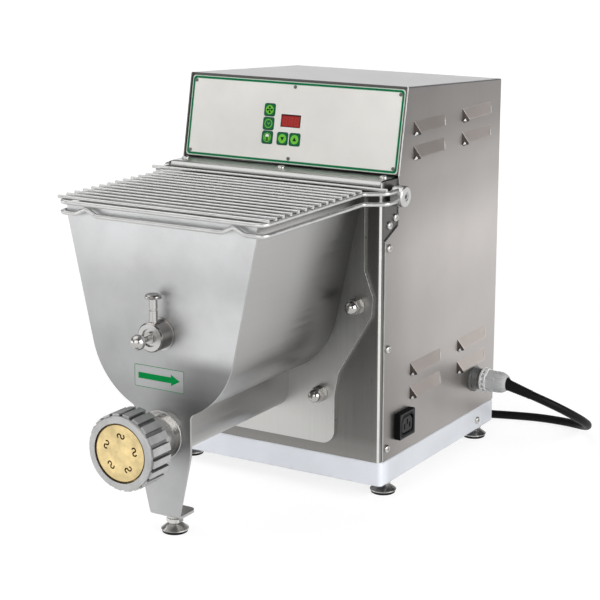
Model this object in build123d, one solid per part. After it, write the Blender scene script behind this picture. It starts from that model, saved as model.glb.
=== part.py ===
"""Electric pasta maker: kneads dough in a hopper, then an auger drives it through a die.

Millimetres, +Z up, +X to the right of someone facing the front, +Y to the back.
While it is modelled, Y = 0 is the front panel's face and Z = 0 the worktop.
save() then moves everything by Y_SHIFT, so that Y = 0 is midway along the machine.
"""

from build123d import *
from math import acos, cos, hypot, pi, radians, sin, tan
import os

os.makedirs("parts", exist_ok=True)

# ---------------------------------------------------------------- driving sizes
# Case
CASE_W = 237.0  # over the hood's side walls
CASE_D = 242.0  # front panel's face to the hood's rear flanges
BASE_BOTTOM_Z = 13.5  # also the height of the levelling feet
BASE_TOP_Z = 36.0
TOP_FRONT_Z = 380.0  # hood's top at the fascia
TOP_FALL = 12.5  # how far the top falls towards the back
FASCIA_FOOT_Y = 29.0
FASCIA_FOOT_Z = 301.0
FASCIA_LEAN = 15.9  # how far the fascia's head lies behind its foot
HOOD_FRONT_Y = 4.5  # hood's lower front edge, behind the front panel's face
NOTCH_LOW_Z = 245.0
NOTCH_HIGH_Z = 256.0
SHEET = 1.2  # hood, rear cover and fascia sheet
PANEL_T = 1.5  # front panel sheet
PANEL_FLANGE = 32.0  # depth of the front panel's side flanges
LEDGE_Z = 300.0
LEDGE_R = 6.5  # round top bend of the front panel
BASE_PROUD = 0.7  # base beyond the hood, all round
BASE_WALL = 2.5
FIT = 0.15  # gap between sheets that slide into each other

# Hopper and its two axes
HOPPER_L = 178.0  # front panel's face to the front plate's face
HOPPER_INSET = 21.5  # hood's side to the hopper's, at the top
HOPPER_TOP_Z = 288.5
RIM_H = 8.5  # upright band at the top of the hopper
PADDLE_Z = 185.0
AXIS_GAP = 90.0  # between the paddle's axis and the auger's
TROUGH_R = 74.0  # outside of the trough, about the paddle's axis
CHANNEL_R = 21.0  # outside of the auger channel
HOPPER_T = 1.5
PLATE_T = 2.5  # front plate
REAR_PLATE_T = 3.0
LEG_HALF = 28.8
LEG_FOOT_HALF = 15.5
TAB_L = 28.0
TAB_Z = 18.0  # underside of the leg's folded tab

# Nose, die and ring nut
NOSE_REACH = 63.0  # front plate's face to the ring nut's face
NOSE_R = 18.0
NOSE_WALL = 2.0
DIE_R = 25.3
DIE_STEP = 2.7  # die's flange beyond its face
DIE_T = 10.0
DIE_FLANGE_T = 4.0
DIE_SUNK = 1.0  # die's face behind the ring nut's
NUT_WALL = 2.4  # ring nut's wall under its ribs
RIB_H = 3.0
RIBS = 20
NUT_L = 27.0
AUGER_GAP = 0.5  # flight to the nose's bore
AUGER_CORE_R = 6.5
AUGER_PITCH = 24.0
PADDLE_GAP = 4.5  # paddle's tips to the trough
SHAFT_R = 8.0
RUN = 0.05  # radial running clearance of a shaft in its bush

# Drive
MODULE = AXIS_GAP / 36.0
PADDLE_TEETH = 42
AUGER_TEETH = 30
PINION_TEETH = 14
GEAR_W = 12.0
MOTOR_R = 48.0
MOTOR_L = 112.0

# Lid
WIRE_R = 2.0
ROD_R = 1.6
RODS = 14
LID_SIDE_GAP = 8.0  # hopper side to the lid's side wires
LID_OFFSET = 2.5  # the lid sits this far to the right of the hopper
WIRE_DROP = 9.3  # between the upper and the lower wire frame
HINGE_Y = 19.0
HINGE_Z = 285.0
BOSS_R = 9.7
BOSS_L = 11.5
PIN_R = 4.0

# Fasteners and feet
SCREW_R = 2.0
SCREW_HEAD_R = 3.8
SCREW_HEAD_H = 2.2
SCREW_L = 6.0
STUD_R = 4.0
CAP_AF = 13.0  # across the flats
FOOT_R = 12.5
PAD_H = 4.0

# Mains cord
CORD_R = 4.25
COIL_R = 47.0  # middle of the coil's turns
GLAND_R = 11.2
GLAND_L = 38.0

# ---------------------------------------------------------------- worked-out sizes
SIDE = CASE_W / 2
HOPPER_TOP_HALF = SIDE - HOPPER_INSET
TOP_BACK_Z = TOP_FRONT_Z - TOP_FALL
FASCIA_HEAD_Y = FASCIA_FOOT_Y + FASCIA_LEAN
FASCIA_L = hypot(FASCIA_LEAN, TOP_FRONT_Z - FASCIA_FOOT_Z)
PANEL_HALF = SIDE - SHEET - FIT
AUGER_Z = PADDLE_Z - AXIS_GAP
FRONT_Y = -HOPPER_L  # front plate's face
PLATE_BACK_Y = FRONT_Y + PLATE_T
REAR_PLATE_Y = -REAR_PLATE_T
NUT_FACE_Y = FRONT_Y - NOSE_REACH
NUT_BACK_Y = NUT_FACE_Y + NUT_L
DIE_BACK_Y = NUT_FACE_Y + DIE_SUNK + DIE_T
DIE_FLANGE_R = DIE_R + DIE_STEP
NOSE_HEAD_R = DIE_FLANGE_R + 0.3
NUT_BORE_R = NOSE_HEAD_R + 0.3
NUT_R = NUT_BORE_R + NUT_WALL
RIB_R = NUT_R + RIB_H
AUGER_R = NOSE_R - NOSE_WALL - AUGER_GAP
PADDLE_TIP_R = TROUGH_R - HOPPER_T - PADDLE_GAP
LID_HALF = HOPPER_TOP_HALF + LID_SIDE_GAP
LID_Z = HOPPER_TOP_Z + WIRE_R + 0.5
LID_FRONT_Y = FRONT_Y - 5.0
BOSS_IN = SIDE + 1.3
BOSS_OUT = BOSS_IN + BOSS_L
COVER_Y = CASE_D + SHEET
REAR_Y = COVER_Y + SCREW_HEAD_H
Y_SHIFT = -(NUT_FACE_Y + REAR_Y) / 2
MOTOR_Z = PADDLE_Z + MODULE * (PADDLE_TEETH + PINION_TEETH) / 2
GEAR_Y = 14.0
DRIVE_PLATE_Y = 36.0
DRIVE_PLATE_T = 6.0
BEARING_PLATE_T = 8.0
BEARING_R = 16.0

FASCIA = Plane(
    origin=(0, FASCIA_FOOT_Y, FASCIA_FOOT_Z),
    x_dir=(1, 0, 0),
    z_dir=(0, -(TOP_FRONT_Z - FASCIA_FOOT_Z) / FASCIA_L, FASCIA_LEAN / FASCIA_L),
)


# ---------------------------------------------------------------- helpers
def save(name, *shapes):
    """Write one node: every solid of the shapes given, moved to the shared frame."""
    solids = [solid for shape in shapes for solid in shape.solids()]
    node = solids[0] if len(solids) == 1 else Compound(solids)
    export_step(node.moved(Location((0, Y_SHIFT, 0))), f"parts/{name}.step")


def block(x0, x1, y0, y1, z0, z1):
    centre = Pos((x0 + x1) / 2, (y0 + y1) / 2, (z0 + z1) / 2)
    return centre * Box(x1 - x0, y1 - y0, z1 - z0)


def rod_x(r, x0, x1, y, z):
    return Pos((x0 + x1) / 2, y, z) * Rot(0, 90, 0) * Cylinder(r, x1 - x0)


def rod_y(r, y0, y1, x=0.0, z=0.0):
    return Pos(x, (y0 + y1) / 2, z) * Rot(90, 0, 0) * Cylinder(r, y1 - y0)


def rod_z(r, z0, z1, x=0.0, y=0.0):
    return Pos(x, y, (z0 + z1) / 2) * Cylinder(r, z1 - z0)


def ring_y(r_out, r_in, y0, y1, x=0.0, z=0.0):
    return rod_y(r_out, y0, y1, x, z) - rod_y(r_in, y0 - 1, y1 + 1, x, z)


def along_y(sketch, y0, y1):
    """Extrude a sketch drawn in (x, z) from y0 to y1."""
    plane = Plane(origin=(0, y0, 0), x_dir=(1, 0, 0), z_dir=(0, -1, 0))
    return extrude(plane * sketch, amount=y1 - y0, dir=(0, 1, 0))


def along_x(sketch, x0, x1):
    """Extrude a sketch drawn in (y, z) from x0 to x1."""
    return extrude(Plane.YZ.offset(x0) * sketch, amount=x1 - x0, dir=(1, 0, 0))


def outline(*points):
    return make_face(Polyline(*points, close=True))


def both_sides(shape):
    return shape, mirror(shape, about=Plane.YZ)


def cut_all(shape, tools):
    for tool in tools:
        shape = shape - tool
    return shape


def on_fascia(sketch, low, high):
    """Extrude a sketch drawn in the fascia's plane between two depths along its normal."""
    return extrude(FASCIA.offset(low) * sketch, amount=high - low)


def hex_rod(flats, length):
    return extrude(RegularPolygon(flats / 2, 6, major_radius=False), amount=length)


# ---------------------------------------------------------------- screws
HOOD_SCREW_Y = 11.0
HOOD_SCREW_Z = (237.8, 143.2, 47.6)
LEDGE_SCREW_Y = 18.0
LEDGE_SCREW_X = PANEL_HALF - 9.0
BRACKET_SCREWS = ((24.5, 263.8), (13.3, 258.3))
BASE_SCREW_Y = CASE_D - 38.0
BASE_SCREW_Z = (BASE_BOTTOM_Z + BASE_TOP_Z) / 2 - 2.0
COVER_HALF = SIDE - 4.0
COVER_LOW_Z = BASE_TOP_Z + 3.0
COVER_TOP_Z = TOP_BACK_Z - 4.0
COVER_SCREW_X = COVER_HALF - 5.0


def screw_places():
    """Seat and outward direction of every screw head."""
    places = []
    for side in (1, -1):
        out = (side, 0, 0)
        for z in HOOD_SCREW_Z:
            places.append(((side * SIDE, HOOD_SCREW_Y, z), out))
        for y, z in BRACKET_SCREWS:
            places.append(((side * PANEL_HALF, y, z), out))
        places.append(((side * (SIDE + BASE_PROUD), BASE_SCREW_Y, BASE_SCREW_Z), out))
        for z in (COVER_LOW_Z + 12, (COVER_LOW_Z + COVER_TOP_Z) / 2, COVER_TOP_Z - 5):
            places.append(((side * COVER_SCREW_X, COVER_Y, z), (0, 1, 0)))
    for x in (-LEDGE_SCREW_X, 0, LEDGE_SCREW_X):
        places.append(((x, LEDGE_SCREW_Y, LEDGE_Z), (0, 0, 1)))
    return places


def pan_screw():
    head = Pos(0, 0, SCREW_HEAD_H / 2) * Cylinder(SCREW_HEAD_R, SCREW_HEAD_H)
    rim = head.edges().filter_by(GeomType.CIRCLE).sort_by(Axis.Z)[-1]
    head = fillet(rim, SCREW_HEAD_H * 0.75)
    slot = Box(SCREW_HEAD_R, 0.8, 1.6)
    recess = Pos(0, 0, SCREW_HEAD_H) * (slot + Rot(0, 0, 90) * slot)
    return head - recess + Pos(0, 0, -SCREW_L / 2) * Cylinder(SCREW_R, SCREW_L)


SCREW_HOLES = [
    Plane(origin=at, z_dir=out) * Cylinder(SCREW_R + 0.1, 4 * SCREW_L)
    for at, out in screw_places()
]


def case_screws():
    screw = pan_screw()
    save("case_screws", *(Plane(origin=at, z_dir=out) * screw for at, out in screw_places()))


# ---------------------------------------------------------------- case
LOUVRE_FRONT_Y = 55.0
LOUVRE_GAP = 36.0  # between the front and the rear column
LOUVRE_L = (CASE_D - LOUVRE_FRONT_Y - 23.0 - LOUVRE_GAP) / 2
LOUVRE_H = 14.0
LOUVRE_OUT = 4.5
LOUVRE_ROWS = (335.0, 312.5, 107.0, 84.0)
FEET_X = SIDE - 9.5
FEET_Y = (23.0, CASE_D - 23.0)
OUTLET_Y = 26.5
OUTLET_Z = 51.5
OUTLET_W = 30.5
OUTLET_H = 25.5
GLAND_Y = CASE_D - 47.0
GLAND_Z = 69.8


def base_tray():
    half = SIDE + BASE_PROUD
    y0, y1 = -BASE_PROUD, COVER_Y - SHEET + BASE_PROUD
    tray = block(-half, half, y0, y1, BASE_BOTTOM_Z, BASE_TOP_Z)
    tray = fillet(tray.edges().filter_by(Axis.Z), 4.0)
    tray = fillet(tray.faces().sort_by(Axis.Z)[-1].edges(), 1.8)
    tray -= block(
        -half + BASE_WALL,
        half - BASE_WALL,
        y0 + BASE_WALL,
        y1 - BASE_WALL,
        BASE_BOTTOM_Z - 1,
        BASE_TOP_Z - BASE_WALL,
    )
    for x in (-FEET_X, FEET_X):
        for y in FEET_Y:
            tray += rod_z(8.5, BASE_BOTTOM_Z, BASE_TOP_Z - 1, x, y)
            tray -= rod_z(STUD_R + RUN, BASE_BOTTOM_Z - 1, BASE_TOP_Z - 3, x, y)
    save("base_tray", cut_all(tray, SCREW_HOLES))


def louvre(y0, z0):
    """Pressed louvre on the right wall, open below: its outside and its inside."""
    x_root = SIDE - SHEET / 2
    outer = loft(
        [
            Plane.YZ.offset(x_root) * Pos(y0 + LOUVRE_L / 2, z0 + LOUVRE_H / 2)
            * Rectangle(LOUVRE_L, LOUVRE_H),
            Plane.YZ.offset(SIDE + LOUVRE_OUT) * Pos(y0 + LOUVRE_L / 2, z0 + 0.8)
            * Rectangle(LOUVRE_L - 14, 1.6),
        ],
        ruled=True,
    )
    inner = loft(
        [
            Plane.YZ.offset(SIDE - 2 * SHEET) * Pos(y0 + LOUVRE_L / 2, z0 + 5)
            * Rectangle(LOUVRE_L - 1, LOUVRE_H - 1),
            Plane.YZ.offset(SIDE + LOUVRE_OUT - SHEET) * Pos(y0 + LOUVRE_L / 2, z0 - 0.2)
            * Rectangle(LOUVRE_L - 15, 1.4),
        ],
        ruled=True,
    )
    return outer, inner


def hood_side_outline(z_low, drop):
    """Hood seen from the side, in (y, z), its top lowered by drop."""
    return outline(
        (HOOD_FRONT_Y, z_low),
        (HOOD_FRONT_Y, NOTCH_LOW_Z),
        (FASCIA_FOOT_Y, NOTCH_HIGH_Z),
        (FASCIA_FOOT_Y, FASCIA_FOOT_Z),
        (FASCIA_HEAD_Y, TOP_FRONT_Z - drop),
        (CASE_D, TOP_BACK_Z - drop),
        (CASE_D, z_low),
    )


def hood():
    shell = along_x(hood_side_outline(BASE_TOP_Z, 0), -SIDE, SIDE)
    long_edges = [
        edge
        for edge in shell.edges()
        if abs(abs(edge.center().X) - SIDE) < 0.1 and edge.center().Z > TOP_BACK_Z - 1
    ]
    shell = fillet(long_edges, SHEET + 0.3)
    slope = TOP_FALL / (CASE_D - FASCIA_HEAD_Y)
    lead = 60.0
    inside = outline(
        (-lead, 0),
        (-lead, TOP_FRONT_Z - SHEET + slope * (lead + FASCIA_HEAD_Y)),
        (CASE_D - SHEET, TOP_BACK_Z - SHEET),
        (CASE_D - SHEET, 0),
    )
    shell -= along_x(inside, -SIDE + SHEET, SIDE - SHEET)
    lip = 12.0
    shell -= block(
        -SIDE + lip, SIDE - lip, CASE_D - 5, CASE_D + 5, 0, TOP_BACK_Z - lip
    )
    for row_z in LOUVRE_ROWS:
        for y in (LOUVRE_FRONT_Y, LOUVRE_FRONT_Y + LOUVRE_L + LOUVRE_GAP):
            outer, inner = louvre(y, row_z)
            for skin, hollow in zip(both_sides(outer), both_sides(inner)):
                shell = shell + skin - hollow
    shell -= block(
        SIDE - 5,
        SIDE + 5,
        OUTLET_Y + 1.5,
        OUTLET_Y + OUTLET_W - 1.5,
        OUTLET_Z + 1.5,
        OUTLET_Z + OUTLET_H - 1.5,
    )
    shell -= rod_x(GLAND_THREAD_R + 0.9, SIDE - 5, SIDE + 5, GLAND_Y, GLAND_Z)
    seat = Pos(0, FASCIA_L / 2) * Rectangle(2 * SIDE - SHEET, FASCIA_L - SHEET)
    seat -= Pos(0, FASCIA_L / 2 - lip) * Rectangle(2 * (SIDE - lip), FASCIA_L)
    for x, y in rivet_places():
        seat -= Pos(x, y) * Circle(RIVET_HOLE_R)
    shell += on_fascia(seat, CARRIER_TOP - 2 * SHEET, CARRIER_TOP - SHEET)
    save("hood", cut_all(shell, SCREW_HOLES))


def front_panel():
    corner = 4.0
    channel = Pos(0, PANEL_FLANGE / 2) * Rectangle(2 * PANEL_HALF, PANEL_FLANGE)
    channel = fillet(channel.vertices().sort_by(Axis.Y)[:2], corner)
    inside = Pos(0, PANEL_FLANGE / 2 + PANEL_T) * Rectangle(
        2 * (PANEL_HALF - PANEL_T), PANEL_FLANGE
    )
    inside = fillet(inside.vertices().sort_by(Axis.Y)[:2], corner - PANEL_T)
    bend_low_z = LEDGE_Z - LEDGE_R
    height = LEDGE_Z - 1 - BASE_TOP_Z
    panel = extrude(Plane.XY.offset(BASE_TOP_Z) * (channel - inside), amount=height)
    relief = 2.4
    bend_half = PANEL_HALF - relief
    panel -= block(-bend_half, bend_half, -1, corner, bend_low_z - 2, LEDGE_Z + 1)
    ledge_back_y = FASCIA_FOOT_Y + 5
    inner_r = LEDGE_R - PANEL_T
    centre = (LEDGE_R, bend_low_z)
    bend = Pos(*centre) * (Circle(LEDGE_R) - Circle(inner_r))
    bend = bend & Pos(LEDGE_R / 2, bend_low_z + LEDGE_R / 2) * Rectangle(LEDGE_R, LEDGE_R)
    bend += Pos(PANEL_T / 2, bend_low_z - 1) * Rectangle(PANEL_T, 2)
    ledge_l = ledge_back_y - LEDGE_R
    bend += Pos(LEDGE_R + ledge_l / 2, LEDGE_Z - PANEL_T / 2) * Rectangle(ledge_l, PANEL_T)
    panel += along_x(bend, -bend_half + 0.6, bend_half - 0.6)
    for z in (PADDLE_Z, AUGER_Z):
        panel -= rod_y(SEAL_R, -5, 5, 0, z)
    for x, z in stud_places():
        panel -= rod_y(STUD_R + 0.1, -5, 5, x, z)
    for side in (1, -1):
        pin = rod_x(PIN_R + 0.05, side * PANEL_HALF - 5, side * PANEL_HALF + 5, HINGE_Y, HINGE_Z)
        panel -= pin
    panel -= block(
        PANEL_HALF - 5,
        PANEL_HALF + 5,
        OUTLET_Y,
        OUTLET_Y + OUTLET_W,
        OUTLET_Z,
        OUTLET_Z + OUTLET_H,
    )
    save("front_panel", cut_all(panel, SCREW_HOLES))


def rear_cover():
    mid_z = (COVER_LOW_Z + COVER_TOP_Z) / 2
    face = Pos(0, mid_z) * RectangleRounded(2 * COVER_HALF, COVER_TOP_Z - COVER_LOW_Z, 3)
    slots = [
        Pos(x, z) * SlotOverall(60, 5)
        for x in (-40, 40)
        for z in [mid_z + row + 12 * step for row in (40, -100) for step in range(6)]
    ]
    for slot in slots:
        face -= slot
    save("rear_cover", cut_all(along_y(face, CASE_D, COVER_Y), SCREW_HOLES))


# ---------------------------------------------------------------- fascia and control
KEY = 12.0
KEY_GAP = 0.2
KEY_TRAVEL = 0.5
KEYS = {
    "button_mix": (-25.4, 50.2),
    "button_timer": (-25.4, 37.2),
    "button_extrude": (-25.4, 24.2),
    "button_down": (-8.6, 24.2),
    "button_up": (4.8, 24.2),
}
DISPLAY = (-1.4, 41.2)
DISPLAY_W = 21.5
DISPLAY_H = 12.0
FASCIA_HALF = SIDE - SHEET - 0.4
CARRIER_TOP = -0.9  # carrier plate's face, below the fascia's plane
LABEL_T = 0.6
LABEL_TOP = CARRIER_TOP + LABEL_T
BOARD_TOP = -7.0
BOARD_T = 1.6
STEM_TOP = -3.4
KEY_LOW = STEM_TOP + KEY_TRAVEL + 0.1
KEY_TOP = LABEL_TOP + 0.4
RIVET_HOLE_R = 1.25


def windows():
    """Key and display openings of the carrier and the label, in the fascia's plane."""
    keys = [Pos(x, y) * RectangleRounded(KEY + 2 * KEY_GAP, KEY + 2 * KEY_GAP, 2.2)
            for x, y in KEYS.values()]
    display = Pos(*DISPLAY) * Rectangle(DISPLAY_W + 0.2, DISPLAY_H + 0.2)
    return [*keys, display]


def fascia():
    top = FASCIA_L - SHEET - 1.0
    carrier = Pos(0, (top + 0.6) / 2) * Rectangle(2 * FASCIA_HALF, top - 0.6)
    low, high = 1.2, FASCIA_L - 2.6
    label = Pos(0, (low + high) / 2) * RectangleRounded(
        2 * (FASCIA_HALF - 1.2), high - low, 3.0
    )
    for window in windows():
        carrier -= window
        label -= window
    for x, y in rivet_places():
        carrier -= Pos(x, y) * Circle(RIVET_HOLE_R)
        label -= Pos(x, y) * Circle(RIVET_HOLE_R)
    plate = on_fascia(carrier, CARRIER_TOP - SHEET, CARRIER_TOP)
    for x, y in board_posts():
        plate += on_fascia(Pos(x, y) * Circle(2.6), BOARD_TOP, CARRIER_TOP - SHEET)
    save("fascia_plate", plate)
    save("fascia_label", on_fascia(label, CARRIER_TOP, LABEL_TOP))
    pane = Pos(*DISPLAY) * Rectangle(DISPLAY_W, DISPLAY_H)
    save("display_window", on_fascia(pane, CARRIER_TOP - SHEET, LABEL_TOP - 0.1))


def rivet_places():
    edge = FASCIA_HALF - 5.6
    return [(x, y) for x in (-edge, 0, edge) for y in (6.0, FASCIA_L - 7.4)]


def fascia_rivets():
    rivets = []
    for x, y in rivet_places():
        shank = on_fascia(
            Pos(x, y) * Circle(RIVET_HOLE_R - 0.05), CARRIER_TOP - 2 * SHEET - 0.5, LABEL_TOP
        )
        head = on_fascia(Pos(x, y) * Circle(1.7), LABEL_TOP, LABEL_TOP + 0.5)
        rivets.append(shank + head)
    save("fascia_rivets", *rivets)


def buttons():
    cap = RectangleRounded(KEY, KEY, 2.0)
    for name, (x, y) in KEYS.items():
        key = on_fascia(Pos(x, y) * cap, KEY_LOW, KEY_TOP)
        rim = key.faces().sort_by(Axis(origin=(0, 0, 0), direction=FASCIA.z_dir))[-1].edges()
        save(name, fillet(rim, 0.35))


def board_posts():
    return [(x, y) for x in (-52, 34) for y in (14.0, 64.0)]


def control_board():
    pcb = Pos(-9, 39) * Rectangle(100, 60)
    board = [on_fascia(pcb, BOARD_TOP - BOARD_T, BOARD_TOP)]
    for x, y in KEYS.values():
        switch = on_fascia(Pos(x, y) * Rectangle(6, 6), BOARD_TOP, BOARD_TOP + 2.4)
        stem = on_fascia(Pos(x, y) * Circle(1.7), BOARD_TOP + 2.4, STEM_TOP)
        board.append(switch + stem)
    digits = Pos(*DISPLAY) * Rectangle(DISPLAY_W - 1, DISPLAY_H - 1)
    board.append(on_fascia(digits, BOARD_TOP, CARRIER_TOP - SHEET - 0.3))
    back = BOARD_TOP - BOARD_T
    for x, y, w, h, depth in (
        (-38, 40, 30, 36, 24),
        (2, 50, 15, 19, 16),
        (22, 50, 15, 19, 16),
        (2, 20, 40, 10, 12),
    ):
        board.append(on_fascia(Pos(x, y) * Rectangle(w, h), back - depth, back))
    save("control_board", *board)


# ---------------------------------------------------------------- lid
def wire(points, radii):
    path = FilletPolyline(*points, radius=radii)
    return sweep(Plane(origin=path @ 0, z_dir=path % 0) * Circle(WIRE_R), path=path)


def lid_wire(z, front, radii):
    """Wire frame from one hinge boss to the other, through the front bar's own points."""
    arm_x = BOSS_IN + BOSS_L / 2
    bend, corner = 6.0, 7.0
    points = []
    for side in (1, -1):
        x = side * LID_HALF + LID_OFFSET
        arm = [
            (side * arm_x, HINGE_Y, z),
            (side * arm_x, -6.0, z),
            (x, -19.0, z),
            (x, LID_FRONT_Y, z),
        ]
        points += arm + front if side == 1 else arm[::-1]
    frame = wire(points, [bend, bend, corner, *radii, corner, bend, bend])
    return cut_all(frame, both_sides(rod_x(BOSS_R, BOSS_IN, BOSS_OUT, HINGE_Y, HINGE_Z)))


def lid():
    bosses = both_sides(
        chamfer(
            rod_x(BOSS_R, BOSS_IN, BOSS_OUT, HINGE_Y, HINGE_Z).edges().sort_by(Axis.X)[-1:],
            1.0,
        )
        - rod_x(PIN_R + RUN, BOSS_IN - 1, BOSS_OUT + 1, HINGE_Y, HINGE_Z)
    )
    save("lid_hinge_bosses", *bosses)
    save("lid_upper_frame", lid_wire(LID_Z, [], []))

    low_z = LID_Z - WIRE_DROP
    peak_z = LID_Z - 2 * WIRE_R - 0.05
    bump_x = LID_HALF - 29.0
    bump_half = 11.0
    bumps = []
    for middle in (bump_x + LID_OFFSET, -bump_x + LID_OFFSET):
        bumps += [
            (middle + bump_half, LID_FRONT_Y, low_z),
            (middle, LID_FRONT_Y, peak_z),
            (middle - bump_half, LID_FRONT_Y, low_z),
        ]
    save("lid_lower_frame", lid_wire(low_z, bumps, [8.0, 4.0, 8.0] * 2))

    z = LID_Z + WIRE_R + ROD_R
    left, right = LID_OFFSET - LID_HALF - 3, LID_OFFSET + LID_HALF + 3
    first, last = LID_FRONT_Y + 3.0, -26.6
    pitch = (last - first) / (RODS - 1)
    rods = [rod_x(ROD_R, left, right, first + i * pitch, z) for i in range(RODS)]
    rear_half = BOSS_IN + BOSS_L / 2 + 1.5
    rods.append(rod_x(ROD_R, -rear_half, rear_half, -10.0, z))
    save("lid_rods", *rods)


def hinge_fixings():
    """Brackets inside the front panel's flanges, and the pins that the lid turns on."""
    inner = PANEL_HALF - PANEL_T
    plate = block(inner - 3, inner, 6, 30, 232, 296)
    sleeve = rod_x(PIN_R + 4, inner - 12, inner - 3, HINGE_Y, HINGE_Z)
    bracket = plate + sleeve - rod_x(PIN_R + 0.05, inner - 20, inner + 5, HINGE_Y, HINGE_Z)
    save("hinge_brackets", *both_sides(cut_all(bracket, SCREW_HOLES)))
    pin = rod_x(PIN_R, inner - 15, BOSS_OUT - 0.4, HINGE_Y, HINGE_Z)
    pin -= Pos(BOSS_OUT, HINGE_Y, HINGE_Z) * Rot(0, -90, 0) * hex_rod(4.0, 3.0)
    save("hinge_pins", *both_sides(pin))
    switch = block(inner - 14, inner - 3, 15, 28, 234, 252)
    save("lid_switch", switch)


# ---------------------------------------------------------------- hopper
def wall_foot(radius, top_half, top_z):
    """Where a straight wall from (top_half, top_z) meets the trough's circle."""
    dz = top_z - PADDLE_Z
    reach = hypot(top_half, dz)
    angle = acos(top_half / reach) - acos(radius / reach)
    return radius * cos(angle), PADDLE_Z + radius * sin(angle)


def hopper_section(inset):
    """Cross-section of the hopper above the auger channel, in (x, z)."""
    half = HOPPER_TOP_HALF - inset
    radius = TROUGH_R - inset
    low_z = HOPPER_TOP_Z - RIM_H
    foot_x, foot_z = wall_foot(radius, half, low_z)
    top = outline(
        (-half, HOPPER_TOP_Z),
        (half, HOPPER_TOP_Z),
        (half, low_z),
        (foot_x, foot_z),
        (-foot_x, foot_z),
        (-half, low_z),
    )
    return top + Pos(0, PADDLE_Z) * Circle(radius)


def hopper_sides():
    open_top = Pos(0, HOPPER_TOP_Z) * Rectangle(2 * (HOPPER_TOP_HALF - HOPPER_T), 4)
    skin = hopper_section(0) - hopper_section(HOPPER_T) - open_top
    right = skin & Pos(CHANNEL_R + 100, HOPPER_TOP_Z - 100) * Rectangle(200, 300)
    save("hopper_sides", *both_sides(along_y(right, PLATE_BACK_Y, REAR_PLATE_Y)))


def auger_channel():
    inner_r = CHANNEL_R - HOPPER_T
    top_z = PADDLE_Z - 50
    rise = top_z - AUGER_Z
    outer = Pos(0, AUGER_Z) * Circle(CHANNEL_R)
    outer += Pos(0, AUGER_Z + rise / 2) * Rectangle(2 * CHANNEL_R, rise)
    inner = Pos(0, AUGER_Z) * Circle(inner_r)
    inner += Pos(0, AUGER_Z + rise / 2 + 5) * Rectangle(2 * inner_r, rise + 10)
    skin = outer - inner - Pos(0, PADDLE_Z) * Circle(TROUGH_R - HOPPER_T)
    save("auger_channel", along_y(skin, PLATE_BACK_Y, REAR_PLATE_Y))


def front_plate():
    margin = 1.0
    shape = hopper_section(-margin)
    shape &= Pos(0, HOPPER_TOP_Z - 150) * Rectangle(400, 300)
    neck_z = AUGER_Z - 16
    shape += outline(
        (-LEG_HALF, PADDLE_Z - 55),
        (LEG_HALF, PADDLE_Z - 55),
        (LEG_HALF, neck_z),
        (LEG_FOOT_HALF, TAB_Z + PLATE_T),
        (-LEG_FOOT_HALF, TAB_Z + PLATE_T),
        (-LEG_HALF, neck_z),
    )
    throat = [
        v for v in shape.vertices()
        if abs(abs(v.X) - LEG_HALF) < 0.01 and v.Y > neck_z + 5
    ]
    shape = fillet(throat, 7.0)
    neck = [v for v in shape.vertices() if abs(v.Y - neck_z) < 0.01]
    shape = fillet(neck, 40.0)
    plate = along_y(shape, FRONT_Y, PLATE_BACK_Y)
    bend_r = 4.0
    centre_y = FRONT_Y + bend_r
    centre_z = TAB_Z + bend_r
    plate -= block(-60, 60, FRONT_Y - 1, centre_y, 0, centre_z)
    bend = Pos(centre_y, centre_z) * (Circle(bend_r) - Circle(bend_r - PLATE_T))
    bend &= Pos(centre_y - bend_r / 2, centre_z - bend_r / 2) * Rectangle(bend_r, bend_r)
    tab_l = TAB_L - bend_r
    bend += Pos(centre_y + tab_l / 2, TAB_Z + PLATE_T / 2) * Rectangle(tab_l, PLATE_T)
    tab = along_x(bend, -LEG_FOOT_HALF, LEG_FOOT_HALF)
    tail = [
        edge for edge in tab.edges().filter_by(Axis.Z)
        if edge.center().Y > FRONT_Y + TAB_L - 1
    ]
    plate += fillet(tail, 7.0)
    plate -= rod_y(NOSE_R + 0.1, FRONT_Y - 5, FRONT_Y + 5, 0, AUGER_Z)
    plate -= rod_y(PULL_R + RUN, FRONT_Y - 5, FRONT_Y + 5, 0, PADDLE_Z)
    plate -= rod_z(STUD_R + RUN, TAB_Z - 5, TAB_Z + 5, 0, LEG_FOOT_Y)
    save("hopper_front_plate", plate)


STUDS = ((SIDE - 24.5, PADDLE_Z - 0.5), (55.5, AUGER_Z))


def stud_places():
    return [(side * x, z) for side in (1, -1) for x, z in STUDS]


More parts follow.
